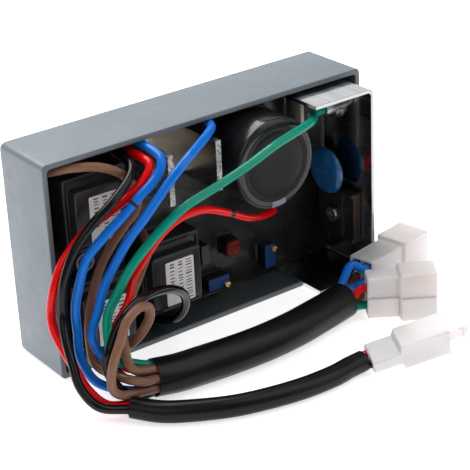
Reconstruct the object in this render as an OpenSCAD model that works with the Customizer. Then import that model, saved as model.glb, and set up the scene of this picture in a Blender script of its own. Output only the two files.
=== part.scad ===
// Voltage regulator module: an open potted case with its wires and plugs.
// Millimetres, +Z up. The case stands on its long narrow side, its open side faces -Y.
// The origin is the middle of the face that the case stands on.

/* [Case] */
// width of the case along X
case_w = 140; // [139:0.5:146]
// depth of the case along Y
case_d = 29; // [28.5:0.5:34]
// height of the case along Z
case_h = 82.5; // [82:0.5:88]
// thickness of the four side walls
wall = 2; // [1.5:0.1:2.1]
// thickness of the closed back
back_t = 2; // [1.2:0.1:3]
// radius of the four long corners
corner_r = 2; // [1.5:0.1:4]
// radius of the edges around the back
edge_r = 1.2; // [1:0.1:3]
// radius of the corners inside the case
inner_r = 1.2; // [0.6:0.1:2]

/* [Potting and board] */
// depth of the resin face behind the rim
fill_depth = 15.3; // [14.8:0.1:17]
// resin over the board
board_cover = 4.7; // [4.5:0.1:6]
// board thickness
board_t = 1.6; // [1:0.1:2]
// gap between the board and the walls
board_gap = 2; // [1.5:0.1:4]

/* [Bracket] */
// sheet thickness of the channel bracket
bracket_t = 1.5; // [1.2:0.1:1.7]
// length of its flanges along X
bracket_len = 28; // [24:0.5:29]
// reach of the bracket in front of the rim
bracket_out = 13; // [11:0.5:16]
// outer bend radius
bracket_r = 3; // [2.2:0.1:4]
// gap between the web and the case wall, which the nuts stand in
bracket_side_gap = 2.2; // [2.1:0.1:3]
// gap over the upper flange
bracket_top_gap = 1.5; // [0.5:0.1:3]

/* [Main capacitor] */
// outer diameter of the sleeved can
cap_d = 35; // [30:0.5:36]
// reach of the can in front of the rim
cap_out = 10; // [6:0.5:12]
// thickness of the shrunk sleeve
cap_skin = 0.4; // [0.2:0.05:0.6]
// width of the sleeve's lip over the end
cap_lip = 3; // [2:0.1:5]

/* [Transformers] */
// width of a transformer's base along X
trafo_w = 26; // [24:0.5:26.5]
// gap between the two left transformers, which the small capacitor stands in
trafo_gap = 11.8; // [9:0.2:14]
// gap between the upper transformer and the case
trafo_top_gap = 7.5; // [6:0.1:9]
// gap between the lower transformer and the case
trafo_low_gap = 1.2; // [0.5:0.1:3]
// width of its raised coil cover
trafo_top_w = 21.4; // [18:0.2:23]
// height of its raised coil cover
trafo_top_h = 21; // [19:0.2:25]
// rise of the coil cover over the pot's rim
trafo_step = 4; // [2:0.2:5]
// wall of a transformer's pot
pot_wall = 1.5; // [1:0.1:2]
// depth of the resin below the pot's rim
pot_dip = 0.6; // [0.3:0.1:1]
// thickness of the paper label
label_t = 0.2; // [0.1:0.05:0.4]

/* [Heat sink] */
// width of the heat sink over its two fins
sink_w = 22.8; // [20:0.2:23]
// height of the heat sink along Z
sink_h = 19; // [16:0.5:19.2]
// fin and web thickness
sink_t = 2.2; // [1.5:0.1:2.5]
// reach of the fins in front of the rim
sink_out = 10; // [8:0.5:10.2]

/* [Small parts] */
// long side of a trimmer
trim_l = 9.5; // [9:0.1:10]
// short side of a trimmer
trim_w = 4.8; // [4.4:0.1:5.2]
// height of a trimmer over the board
trim_h = 10; // [9:0.1:11]
// diameter of a trimmer's adjusting screw
trim_screw_d = 2.2; // [1.8:0.05:2.6]
// radial clearance of that screw in its bore
trim_clear = 0.05; // [0.02:0.01:0.09]
// diameter of the disc varistor
disc_d = 18.8; // [16:0.2:19]
// thickness of the disc varistor
disc_t = 4.6; // [3.6:0.1:4.8]
// thickness of the rectifier's case
rect_t = 4.6; // [4:0.1:4.8]
// thread diameter of the bracket's screws
screw_d = 3; // [2.5:0.1:3]
// diameter of the screws' clearance holes
screw_hole_d = 3.4; // [3.3:0.1:4]

/* [Wires] */
// outer diameter of the insulated wires
wire_d = 3.3; // [2.6:0.1:3.3]
// outer diameter of the thin red wire
thin_wire_d = 2.8; // [2.2:0.1:2.8]
// outer diameter of the wide sleeve
sleeve_d = 13.8; // [13.7:0.1:14.2]
// outer diameter of the narrow sleeve
small_sleeve_d = 7.8; // [7.7:0.1:8]
// wall of the two sleeves
sleeve_t = 0.35; // [0.25:0.05:0.4]
// play of a wire's end in its terminal lug
lug_play = 0.15; // [0.1:0.05:0.4]

/* [Connectors] */
// wall of the plug housings
plug_wall = 1; // [0.7:0.1:1.1]
// length of the slope from a plug's tail to its shell
plug_slope = 0.8; // [0.4:0.1:1.4]
// ledge along the front of the stacked two-way plug
plug_ledge = 0.7; // [0.4:0.1:1]
// length of the latch on the latched plug
latch_l = 7.2; // [5:0.2:9]
// thickness of that latch
latch_t = 1.6; // [1.2:0.1:2]

/* [Hidden] */
$fn = 48;

// main planes
y_rim = -case_d / 2;
y_back = case_d / 2;
y_wall = y_back - back_t;
y_fill = y_rim + fill_depth;
y_board = y_fill + board_cover;
x_in = case_w / 2 - wall;
z_in = case_h - wall;
eps = 0.05;

// bracket
br_x = x_in - bracket_side_gap;
br_face = br_x - bracket_t;
br_z0 = wall;
br_z1 = z_in - bracket_top_gap;
br_y = y_rim - bracket_out;

// sizes of the small parts
trafo_h = (z_in - wall - trafo_top_gap - trafo_gap - trafo_low_gap) / 2;
label_size = [12.4, 17.6];
label_shift = [1, -1.4];
small_cap_d = 8;
small_cap_depth = 7.5;
upright_t = 1.6;
upright_h = 30;
upright_out = 9;
block_size = [3.4, 7.8];
block_depth = 5;
film_size = 6.6;
film_r = 1.3;
film_depth = 8;
chip_size = [9.6, 6.4, 3.4];
diode_d = 2.7;
diode_l = 5.2;
resistor_d = 2.4;
resistor_l = 6.6;
row_pitch = 4;

// gaps between parts and what they stand beside
cap_top_gap = 2.8;
middle_low_gap = 6.8;
sink_top_gap = 4;
upright_web_gap = 17.5;
upright_top_gap = 6.5;
resistor_web_gap = 20.3;
disc_web_gap = 7.1;
earth_drop = 13;
lug_drop = 10;
lug_reach = 10.3;

// places of the parts on the board, as [x, z] in the case's frame
cap_at = [21.2, z_in - cap_top_gap - cap_d / 2];
trafo_upper_at = [-47.7, z_in - trafo_top_gap - trafo_h / 2];
trafo_lower_at = [-48, wall + trafo_low_gap + trafo_h / 2];
trafo_middle_at = [-18.2, wall + middle_low_gap + trafo_h / 2];
small_cap_at = [-52, wall + trafo_low_gap + trafo_h + trafo_gap / 2];
trim_a_at = [32, 12];
trim_b_at = [7.1, 8.7];
film_at = [13.8, 21.8];
block_at = [-1.9, 25.2];
sink_at = [-14.6, z_in - sink_top_gap - sink_h / 2];
upright_at = [br_face - upright_web_gap, z_in - upright_top_gap - upright_h / 2];
chip_at = [24, 26];
diode_at = [-1, 33];
resistor_at = [br_face - resistor_web_gap, 12];
// places on the bracket's web, as [y, z]
rect_at = [-11, 24.2];
earth_at = [-8, br_z1 - earth_drop];
disc_at = [br_face - disc_web_gap, -9, 42.5];
nut_t = 1.8;
nut_af = 5.5;
head_d = 5.8;
head_h = 2.4;
rect_w = 20;
rect_h = 20.4;
lead_d = 1.2;
lead_pitch = 5;
lug_t = 0.8;
lug_d = 7.2;
lug_at = [-12, br_z1 - lug_drop];
lug_x = br_face - lug_reach;
lug_bore = 4;
barrel_d = 4.8;

// heat sink and its thyristor
sink_y = y_fill - sink_t;
sink_front = y_rim - sink_out;
peg_d = 2.6;
thy_w = 10.2;
thy_h = 15.8;
thy_t = 4.6;
thy_tab_t = 2.8;
thy_tab_h = 6.4;
thy_x = sink_at[0] - sink_w / 2 + sink_t;
thy_foot = sink_y - 1.4;
thy_lead_x = thy_x + 1.6;
thy_lead_d = 0.9;
thy_lead_pitch = 2.54;
thy_slot = [0.4, 3.2, 3.8];
tap_end = 0.5;

// wires: routes through hand-set points, first out of the resin, then down to the bundle
exit_l = 7;
// where each wire leaves the resin, as [x, z], and the height z that it then has
exit_red_main = [-31.5, 75.5, 75.5];
exit_black_main = [-36, 77, 77];
exit_blue_left = [-28.6, 78.6, 78.6];
exit_blue_right = [2, 78.6, 78.6];
exit_red_thin = [33, 32, 32];
exit_brown_corner = [-64.5, 75, 76];
exit_brown_middle = [-27.5, 42, 42];
exit_brown_loop = [-65, 6, 6];
exit_black_loop = [-24, 5, 5];
pt_red_main = [[-31.5, -18, 75.5], [-32, -22.5, 74.3], [-36, -24, 70.5], [-42, -23, 66], [-50, -22, 62],
    [-57, -21, 58.5], [-63, -20.5, 54], [-69, -20.5, 48], [-73, -20.5, 40], [-75, -20.5, 32], [-76, -23, 26],
    [-76, -28, 21], [-76, -35, 16], [-75, -41, 10], [-71.5, -47, 5.5]];
pt_black_main = [[-37, -17, 75.5], [-41, -23, 73], [-51, -27, 68], [-60, -27, 62], [-67, -26, 54],
    [-72, -25.5, 43], [-74, -26.5, 32], [-76, -30.5, 26], [-78, -37, 20], [-79, -43, 13], [-76, -49.5, 7.5]];
pt_blue_left = [[-28.6, -20, 78.2], [-29.5, -26, 76.5], [-33.5, -28, 72], [-41, -28, 67], [-48, -28, 62],
    [-56, -28, 57], [-63, -27.5, 51], [-66, -27, 44], [-69, -27, 34], [-70, -28.5, 26],
    [-71.5, -32, 17], [-69, -37, 9]];
pt_blue_right = [[-1, -16, 78.8], [-7, -22, 79], [-15, -27, 78], [-24, -31, 75.5], [-33, -32, 69],
    [-41, -31.5, 61], [-48, -30.5, 54], [-54, -30.5, 47], [-59, -30.5, 40],
    [-63, -32, 33], [-67, -33.5, 22.5]];
pt_green = [[46, -15, 70], [40, -23, 72], [32, -28, 73], [17, -30.5, 71], [3, -31.5, 67], [-9, -32, 64],
    [-19, -32.5, 62], [-27, -33, 60], [-37, -33.5, 55], [-46, -34, 49], [-52, -34.5, 44], [-57, -35, 38],
    [-62.5, -36.5, 31.5], [-65, -40.5, 22], [-64, -42, 17.5]];
pt_red_thin = [[24, -13, 35], [13, -18, 39], [4, -20, 44], [-7, -23, 50], [-14, -24.5, 52.5],
    [-23, -26, 53], [-32, -28, 51], [-40, -30, 46.5], [-48, -32, 40], [-54, -36.5, 34], [-61.5, -37, 24]];
pt_brown_corner = [[-58, -13, 78], [-50, -16.5, 77.3], [-43, -18, 74], [-38, -18.3, 69], [-35.5, -18.5, 63.5],
    [-37, -19, 58], [-44, -20, 53], [-53, -21.5, 45], [-58, -22.5, 37], [-62, -24, 28],
    [-65, -27.5, 19.5], [-67, -35.5, 13.5]];
pt_brown_middle = [[-31, -16, 40.5], [-38, -22, 37], [-46, -28, 33], [-52.5, -32.5, 28], [-59.5, -41, 24]];
pt_brown_loop = [[-64, -18, 7], [-62, -25, 11], [-59, -32, 15], [-55, -37.5, 19], [-52, -41, 24],
    [-50, -43.5, 30], [-51, -45, 35], [-56, -46.5, 37], [-62, -48, 34.5], [-66, -49.5, 29],
    [-69.5, -50, 22.5], [-71, -50, 16.5], [-70, -49.5, 11.5], [-66.5, -49.5, 8.5]];
pt_black_loop = [[-22, -17, 9], [-21.5, -23, 16], [-25, -28, 24], [-32, -33, 30.5], [-41, -37.5, 35],
    [-50, -41, 37], [-58, -43, 35], [-64, -44, 30], [-68, -45.5, 24.5], [-69.5, -45, 19],
    [-67.5, -46, 12]];
// where the two blue wires pass behind the six-way plug, in that plug's frame
way_blue_left = [-5.5, -0.5, 8];
way_blue_right = [-5.5, 1.5, -0.5];
// centre lines of the two sleeves; the first point of the wide one is where its wires gather
line_wide = [[-60, -44.3, 9.8], [-52, -46, 8.2], [-43, -47.5, 7.4], [-34, -48.5, 7.2], [-20, -50, 7.2],
    [-6, -50.5, 7.2], [8, -49.5, 7.2], [20, -47.5, 7.2], [28, -46, 7.2], [35, -44.5, 7.2]];
twist_wide = [0, 0, -8, -20, -45, -75, -100, -120, -132, -135];
gather = 1.3;
line_narrow = [[-65, -52, 4.4], [-59, -60, 4], [-51.5, -66, 4], [-39, -73, 4], [-27, -77, 4], [-13, -79.8, 4],
    [0, -80.4, 4], [8, -79.6, 4.1], [14.4, -79.5, 4.3]];
ring_r = 4.65;
pair_r = 1.72;
sides = 8;
sleeve_sides = 12;

// tail and shell sizes: [tail length, tail width, tail height, shell length, shell width, shell height]
six = [19, 11.2, 17.2, 14.3, 14, 19.6];
pair = [12.4, 8.2, 16.6, 13.6, 11.4, 19];
latched = [11.3, 11, 5.2, 17.5, 11, 11.2];
// plugs: [x, y, z of the middle of the rear face, turn about Z, rise of the mouth, lean about its own line]
at_six = [48, -39.7, six[5] / 2, 11, 0, 0];
at_pair = [42, -49.4, pair[5] / 2, -33, 0, 0];
at_latched = [16.7, -80, 4.4, -24, 12, 15];
wire_in = 6;
contact_l = 9;
crimp_l = 3;
crimp_h = 3;
box_h = 2;
six_pitch = [5.2, 5.7];
pair_pitch = 7.8;
latched_pitch = 4.7;

// smooth line through points, with a ring about every `gap`
function cr(a, b, c, d, t) = 0.5 * (2 * b + (c - a) * t + (2 * a - 5 * b + 4 * c - d) * t * t
    + (3 * b - a - 3 * c + d) * t * t * t);
function smooth(p, gap) = concat([for (i = [0 : len(p) - 2])
    let (b = p[i], c = p[i + 1], a = i > 0 ? p[i - 1] : 2 * b - c,
        d = i + 2 < len(p) ? p[i + 2] : 2 * c - b, n = max(1, ceil(norm(c - b) / gap)))
    for (j = [0 : n - 1]) cr(a, b, c, d, j / n)], [p[len(p) - 1]]);
function unit(v) = v / norm(v);
function along(p, i) = unit(p[min(i + 1, len(p) - 1)] - p[max(i - 1, 0)]);
function square_to(n, t) = unit(n - (n * t) * t);
// side vectors carried along the line without twisting
function carried(p) = [for (i = 0, n = square_to([0.31, 0.22, 0.93], along(p, 0)); i < len(p); i = i + 1,
    n = i < len(p) ? square_to(n, along(p, i)) : n) n];
function ring(c, t, n, r, m) = [for (k = [0 : m - 1])
    c + r * (n * cos(360 * k / m) + cross(t, n) * sin(360 * k / m))];
function rings(p, r, m) = let (s = carried(p))
    [for (i = [0 : len(p) - 1]) each ring(p[i], along(p, i), s[i], r, m)];
function skin(a, n, m, flip) = [for (i = [0 : n - 2]) for (k = [0 : m - 1])
    let (k2 = (k + 1) % m, q = [a + i * m + k, a + i * m + k2, a + (i + 1) * m + k2, a + (i + 1) * m + k])
    each flip ? [[q[0], q[1], q[2]], [q[0], q[2], q[3]]] : [[q[2], q[1], q[0]], [q[3], q[2], q[0]]]];

// a closed round cord along the line
module cord_tube(line, d, m = sides) {
    p = smooth(line, 2.6 * d);
    n = len(p);
    front = [for (k = [0 : m - 1]) k];
    rear = [for (k = [m - 1 : -1 : 0]) (n - 1) * m + k];
    polyhedron(points = rings(p, d / 2, m), faces = concat([front, rear], skin(0, n, m, false)));
}

// an open tube along the line
module hollow_tube(line, d, t, m = sleeve_sides) {
    p = smooth(line, 0.9 * d);
    n = len(p);
    b = n * m;
    ends = [for (e = [0, n - 1]) for (k = [0 : m - 1])
        let (k2 = (k + 1) % m, o = e * m, q = [o + k, o + k2, b + o + k2, b + o + k])
        each e == 0 ? [[q[0], q[1], q[2]], [q[0], q[2], q[3]]] : [[q[2], q[1], q[0]], [q[3], q[2], q[0]]]];
    polyhedron(points = concat(rings(p, d / 2, m), rings(p, d / 2 - t, m)),
        faces = concat(skin(0, n, m, false), skin(b, n, m, true), ends));
}

// a wire's place beside a sleeve's centre line: out towards -Y and up
function turned(o, a) = [o[0] * cos(a) - o[1] * sin(a), o[0] * sin(a) + o[1] * cos(a)];
function flat_dir(p, i) = let (t = p[min(i + 1, len(p) - 1)] - p[max(i - 1, 0)]) unit([t[0], t[1], 0]);
function beside(p, i, o) = let (t = flat_dir(p, i)) p[i] + [t[1], -t[0], 0] * o[0] + [0, 0, o[1]];
function in_wide(k) = [for (i = [0 : len(line_wide) - 1])
    let (o = turned([ring_r, 0], -67.5 + 45 * k + twist_wide[i]))
    beside(line_wide, i, i == 0 ? gather * o : o)];
function in_narrow(s) = [for (i = [0 : len(line_narrow) - 1]) beside(line_narrow, i, [s * pair_r, 0])];
// turns of a point about the three axes
function about_x(a, p) = [p[0], p[1] * cos(a) - p[2] * sin(a), p[1] * sin(a) + p[2] * cos(a)];
function about_y(a, p) = [p[0] * cos(a) + p[2] * sin(a), p[1], p[2] * cos(a) - p[0] * sin(a)];
function about_z(a, p) = [p[0] * cos(a) - p[1] * sin(a), p[0] * sin(a) + p[1] * cos(a), p[2]];
// a point in a plug: `s` along it from the rear face, `v` across it towards the front, `z` up from its middle
function in_plug(at, s, v, z) = [at[0], at[1], at[2]]
    + about_z(at[3], about_y(-at[4], about_x(at[5], [s, -v, z])));
function way_point(at, p) = [in_plug(at, p[0], p[1], p[2])];
function into_plug(at, v, z) = [in_plug(at, -1.5, v, z), in_plug(at, wire_in, v, z)];
function into_latched(v) = [for (s = [-1.2, 2.5, wire_in]) in_plug(at_latched, s, v, 0)];
function out_of_resin(e) = [[e[0], y_fill, e[1]], [e[0], y_fill - exit_l, e[2]]];
six_v = six_pitch[0] / 2;
latched_v = latched_pitch / 2;
function six_z(k) = (k - 1) * six_pitch[1];
function pair_z(k) = (k - 0.5) * pair_pitch;
pair_sag = 0.8;

// box between two corners
module block(a, b) {
    translate(a)
        cube(b - a);
}

// cylinder along X, from x0 to x1, round a point [y, z]
module rod_x(x0, x1, at, d) {
    translate([x0, at[0], at[1]])
        rotate([0, 90, 0])
            cylinder(d = d, h = x1 - x0);
}

// cylinder along Y, from y0 to y1, round a point [x, z]
module rod_y(y0, y1, at, d) {
    translate([at[0], y0, at[1]])
        rotate([-90, 0, 0])
            cylinder(d = d, h = y1 - y0);
}

// box on the board, round a point [x, z], with its face at y
module on_board(at, w, h, y, grow = 0) {
    dx = w / 2 + grow;
    dz = h / 2 + grow;
    block([at[0] - dx, y, at[1] - dz], [at[0] + dx, y_board, at[1] + dz]);
}

module rim_slice(y, inset) {
    r = corner_r - inset * 0.5;
    for (sx = [-1, 1], z = [inset + r, case_h - inset - r])
        translate([sx * (case_w / 2 - inset - r), y, z])
            rotate([90, 0, 0])
                cylinder(r = r, h = 0.01, $fn = 32);
}

// the inside of the case between two depths
module cavity(y0, y1) {
    translate([0, y1, 0])
        rotate([90, 0, 0])
            linear_extrude(y1 - y0) {
                translate([-x_in + inner_r, wall])
                    square([2 * (x_in - inner_r), z_in - wall]);
                translate([-x_in, wall + inner_r])
                    square([2 * x_in, z_in - wall - 2 * inner_r]);
                for (x = [-x_in + inner_r, x_in - inner_r], z = [wall + inner_r, z_in - inner_r])
                    translate([x, z])
                        circle(r = inner_r);
            }
}

module case() {
    color([0.62, 0.66, 0.68])
        difference() {
            hull() {
                rim_slice(y_rim + 0.01, 0);
                for (a = [0 : 22.5 : 90])
                    rim_slice(y_back - edge_r * (1 - sin(a)), edge_r * (1 - cos(a)));
            }
            cavity(y_rim - 1, y_wall);
        }
}

// the channel's section: a web, two flanges and two bends
module bracket_section() {
    translate([br_x - bracket_t, br_z0 + bracket_r])
        square([bracket_t, br_z1 - br_z0 - 2 * bracket_r]);
    for (z = [br_z0, br_z1 - bracket_t])
        translate([br_x - bracket_len, z])
            square([bracket_len - bracket_r, bracket_t]);
    for (z = [br_z0 + bracket_r, br_z1 - bracket_r])
        intersection() {
            translate([br_x - bracket_r, z])
                difference() {
                    circle(r = bracket_r);
                    circle(r = bracket_r - bracket_t);
                }
            translate([br_x - bracket_r, z < case_h / 2 ? br_z0 : br_z1 - bracket_r])
                square(bracket_r);
        }
}

module bracket_solid() {
    translate([0, y_board, 0])
        rotate([90, 0, 0])
            linear_extrude(y_board - br_y)
                bracket_section();
}

module mounting_bracket() {
    color([0.86, 0.87, 0.88])
        difference() {
            bracket_solid();
            for (at = [rect_at, earth_at])
                rod_x(br_x - 3 * bracket_t, br_x + 1, at, screw_hole_d);
        }
}

module rectifier_body() {
    block([br_face - rect_t, rect_at[0] - rect_w / 2, rect_at[1] - rect_h / 2],
        [br_face, rect_at[0] + rect_w / 2, rect_at[1] + rect_h / 2]);
}

module rectifier() {
    color([0.1, 0.1, 0.11])
        difference() {
            rectifier_body();
            rod_x(br_face - rect_t - 1, br_face + 1, rect_at, screw_hole_d);
            // the thin front land of the case
            block([br_face - rect_t - 1, rect_at[0] - rect_w / 2 - 1, rect_at[1] - rect_h / 2 + 1.4],
                [br_face - rect_t + 1, rect_at[0] - rect_w / 2 + 5.6, rect_at[1] + rect_h / 2 - 1.4]);
        }
}

module rectifier_rods(y, d) {
    for (k = [-1.5 : 1 : 1.5])
        rod_y(y, y_board, [br_face - rect_t / 2, rect_at[1] + lead_pitch * k], d);
}

module rectifier_leads() {
    color([0.75, 0.76, 0.78])
        rectifier_rods(rect_at[0] + rect_w / 2, lead_d);
}

// a round-headed screw through the web, its head under face x
module web_screw(x, at) {
    difference() {
        union() {
            rod_x(x - head_h, x, at, head_d);
            rod_x(x - 0.1, br_x + nut_t, at, screw_d);
        }
        for (a = [0, 90])
            translate([x - head_h - 0.4, at[0], at[1]])
                rotate([a, 0, 0])
                    cube([2.4, head_d * 0.6, 0.9], center = true);
    }
}

module bracket_screws() {
    color([0.8, 0.8, 0.82]) {
        web_screw(br_face - rect_t, rect_at);
        web_screw(br_face - lug_t, earth_at);
    }
}

module bracket_nuts() {
    color([0.78, 0.78, 0.8])
        for (at = [rect_at, earth_at])
            difference() {
                translate([br_x, at[0], at[1]])
                    rotate([0, 90, 0])
                        cylinder(d = nut_af / cos(30), h = nut_t, $fn = 6);
                rod_x(br_x - 1, br_x + nut_t + 1, at, screw_d + 2 * eps);
            }
}

module earth_lug() {
    color([0.82, 0.82, 0.8])
        difference() {
            union() {
                rod_x(br_face - lug_t, br_face, earth_at, lug_d);
                hull()
                    for (at = [earth_at, lug_at])
                        rod_x(br_face - lug_t, br_face, at, 3.6, $fn = 32);
                rod_x(lug_x + lug_bore, br_face - lug_t / 2, lug_at, 3);
                rod_x(lug_x, lug_x + lug_bore + 1.2, lug_at, barrel_d);
            }
            rod_x(br_face - 3, br_face + 1, earth_at, screw_hole_d);
            rod_x(lug_x - 1, lug_x + lug_bore, lug_at, wire_d + 2 * lug_play);
        }
}

module cap_profile(r, l, e) {
    square([r - e, l]);
    square([r, l - e]);
    translate([r - e, l - e])
        circle(r = e);
}

// the can stands on the board with its end towards -Y
module cap_place() {
    translate([cap_at[0], y_board, cap_at[1]])
        rotate([90, 0, 0])
            children();
}

cap_l = y_board - y_rim + cap_out;

module capacitor_can() {
    color([0.16, 0.16, 0.17])
        cap_place()
            rotate_extrude($fn = 96)
                cap_profile(cap_d / 2 - cap_skin - eps, cap_l - cap_skin - eps, 1.2);
}

module capacitor_sleeve() {
    color([0.12, 0.12, 0.13])
        cap_place()
            rotate_extrude($fn = 96)
                difference() {
                    cap_profile(cap_d / 2, cap_l, 1.6);
                    translate([0, -1])
                        cap_profile(cap_d / 2 - cap_skin, cap_l + 1 - cap_skin, 1.2);
                    square([cap_d / 2 - cap_lip, cap_l + 1]);
                }
}

module small_capacitor() {
    color([0.14, 0.14, 0.15])
        translate([small_cap_at[0], y_board, small_cap_at[1]])
            rotate([90, 0, 0])
                rotate_extrude()
                    cap_profile(small_cap_d / 2, y_board - y_rim - small_cap_depth, 0.8);
}

module disc_place() {
    translate(disc_at)
        rotate([0, 90, 0])
            children();
}

// the two leads run straight back into the board
disc_lead_d = 0.8;
disc_lead_pitch = 5;
disc_lead_y = disc_at[1] + disc_d / 4;
module disc_leads(y, d) {
    for (k = [-0.5, 0.5])
        rod_y(y, y_board, [disc_at[0], disc_at[2] + disc_lead_pitch * k], d);
}

module varistor() {
    color([0.1, 0.36, 0.6])
        difference() {
            disc_place()
                rotate_extrude() {
                    translate([0, -disc_t / 2])
                        square([disc_d / 2 - disc_t / 2, disc_t]);
                    intersection() {
                        translate([disc_d / 2 - disc_t / 2, 0])
                            circle(d = disc_t);
                        translate([0, -disc_t])
                            square([disc_d, 2 * disc_t]);
                    }
                }
            disc_leads(disc_lead_y, disc_lead_d + 2 * eps);
        }
}

module varistor_leads() {
    color([0.78, 0.79, 0.8])
        disc_leads(disc_lead_y, disc_lead_d);
}

module upright_board() {
    color([0.72, 0.68, 0.58])
        on_board(upright_at, upright_t, upright_h, y_fill - upright_out);
}

// a pot filled with resin almost to its rim, and the coil cover that stands out of it
module trafo_solid(at) {
    rim = y_rim + trafo_step;
    in_w = trafo_w / 2 - pot_wall;
    in_h = trafo_h / 2 - pot_wall;
    difference() {
        on_board(at, trafo_w, trafo_h, rim);
        block([at[0] - in_w, rim - 1, at[1] - in_h], [at[0] + in_w, rim + pot_dip, at[1] + in_h]);
    }
    on_board(at, trafo_top_w, trafo_top_h, y_rim);
}

module transformer_upper() {
    color([0.09, 0.09, 0.1])
        trafo_solid(trafo_upper_at);
}

module transformer_lower() {
    color([0.09, 0.09, 0.1])
        trafo_solid(trafo_lower_at);
}

module transformer_middle() {
    color([0.09, 0.09, 0.1])
        trafo_solid(trafo_middle_at);
}

module transformer_labels() {
    color([0.9, 0.9, 0.88])
        for (at = [trafo_upper_at, trafo_lower_at, trafo_middle_at])
            translate([at[0] + label_shift[0], y_rim, at[1] + label_shift[1]])
                block([-label_size[0] / 2, -label_t, -label_size[1] / 2],
                    [label_size[0] / 2, 0, label_size[1] / 2]);
}

module sink_solid() {
    x0 = sink_at[0] - sink_w / 2;
    z0 = sink_at[1] - sink_h / 2;
    for (x = [x0, x0 + sink_w - sink_t])
        block([x, sink_front, z0], [x + sink_t, y_fill, z0 + sink_h]);
    block([x0, sink_y, z0], [x0 + sink_w, y_fill, z0 + sink_h]);
}

peg_z = sink_at[1] - sink_h / 2 + 3;
module sink_pegs(grow) {
    for (sx = [-1, 1])
        rod_y(y_fill - sink_t / 2, y_board, [sink_at[0] + sx * (sink_w / 2 - 3), peg_z], peg_d + grow);
}

thy_hole = [thy_foot - thy_h + 2.8, sink_at[1]];

// a channel with a slot in its web for the leads and a tapped hole in its left wall
module heat_sink() {
    color([0.76, 0.77, 0.78])
        difference() {
            union() {
                sink_solid();
                sink_pegs(0);
            }
            block([thy_x + thy_slot[0], sink_y - 1, sink_at[1] - thy_slot[2]],
                [thy_x + thy_slot[1], y_fill + 1, sink_at[1] + thy_slot[2]]);
            rod_x(thy_x - sink_t + tap_end, thy_x + 1, thy_hole, screw_d + 2 * eps);
        }
}

// a three-lead package flat on the left wall, its leads towards the board
module thyristor() {
    z0 = sink_at[1] - thy_w / 2;
    z1 = sink_at[1] + thy_w / 2;
    color([0.08, 0.08, 0.09])
        difference() {
            union() {
                block([thy_x, thy_foot - thy_h + thy_tab_h, z0], [thy_x + thy_t, thy_foot, z1]);
                block([thy_x, thy_foot - thy_h, z0], [thy_x + thy_tab_t, thy_foot, z1]);
            }
            rod_x(thy_x - 1, thy_x + thy_t + 1, thy_hole, screw_hole_d);
        }
}

module thyristor_rods(y, d) {
    for (k = [-1 : 1])
        rod_y(y, y_board, [thy_lead_x, sink_at[1] + thy_lead_pitch * k], d);
}

module thyristor_leads() {
    color([0.75, 0.76, 0.78])
        thyristor_rods(thy_foot, thy_lead_d);
}

module thyristor_screw() {
    x = thy_x + thy_tab_t;
    color([0.8, 0.8, 0.82])
        difference() {
            union() {
                rod_x(x, x + head_h, thy_hole, head_d);
                rod_x(thy_x - sink_t + tap_end, x + 0.1, thy_hole, screw_d);
            }
            translate([x + head_h, thy_hole[0], thy_hole[1]])
                for (a = [0, 90])
                    rotate([a, 0, 0])
                        cube([2.4, head_d * 0.6, 0.9], center = true);
        }
}

module film_capacitor() {
    color([0.5, 0.16, 0.09])
        translate([film_at[0], y_board, film_at[1]])
            rotate([90, 0, 0])
                linear_extrude(y_board - y_rim - film_depth) {
                    flat = film_size - 2 * film_r;
                    square([film_size, flat], center = true);
                    square([flat, film_size], center = true);
                    for (sx = [-0.5, 0.5], sy = [-0.5, 0.5])
                        translate([sx * flat, sy * flat])
                            circle(r = film_r);
                }
}

module block_resistor() {
    color([0.34, 0.34, 0.35])
        on_board(block_at, block_size[0], block_size[1], y_rim + block_depth);
}

// trimmers: a is upright, b lies along X; the screw is near one end
trim_a_screw = trim_a_at + [1.2, 3.2];
trim_b_screw = trim_b_at + [3.2, -1.2];
trim_y = y_board - trim_h;
trim_bore_l = 4;

module trim_screw(at) {
    difference() {
        rod_y(trim_y - 1.5, trim_y + trim_bore_l - 0.3, at, trim_screw_d);
        translate([at[0], trim_y - 1.5, at[1]])
            rotate([0, 35, 0])
                cube([trim_screw_d + 1, 1.4, 0.5], center = true);
    }
}

module trimmer_body_a() {
    color([0.12, 0.3, 0.66])
        difference() {
            on_board(trim_a_at, trim_w, trim_l, trim_y);
            rod_y(trim_y - 1, trim_y + trim_bore_l, trim_a_screw, trim_screw_d + 2 * trim_clear);
        }
}

module trimmer_body_b() {
    color([0.12, 0.3, 0.66])
        difference() {
            on_board(trim_b_at, trim_l, trim_w, trim_y);
            rod_y(trim_y - 1, trim_y + trim_bore_l, trim_b_screw, trim_screw_d + 2 * trim_clear);
        }
}

module trimmer_screw_a() {
    color([0.78, 0.62, 0.3])
        trim_screw(trim_a_screw);
}

module trimmer_screw_b() {
    color([0.78, 0.62, 0.3])
        trim_screw(trim_b_screw);
}

module circuit_board() {
    color([0.2, 0.36, 0.22])
        block([-x_in + board_gap, y_board, wall + board_gap],
            [x_in - board_gap, y_board + board_t, z_in - board_gap]);
}

module control_chip() {
    color([0.1, 0.1, 0.11])
        on_board(chip_at, chip_size[0], chip_size[1], y_board - chip_size[2]);
}

module diodes(grow) {
    for (k = [0 : 3])
        translate([diode_at[0] + row_pitch * k, y_board - diode_d / 2 - eps,
            diode_at[1] - diode_l / 2 - grow])
            cylinder(d = diode_d + 2 * grow, h = diode_l + 2 * grow);
}

module board_diodes() {
    color([0.12, 0.12, 0.12])
        diodes(0);
}

module resistors(grow) {
    for (k = [0 : 3])
        translate([resistor_at[0] - grow, y_board - resistor_d / 2 - eps, resistor_at[1] + row_pitch * k])
            rotate([0, 90, 0])
                cylinder(d = resistor_d + 2 * grow, h = resistor_l + 2 * grow);
}

module board_resistors() {
    color([0.72, 0.6, 0.42])
        resistors(0);
}

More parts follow.
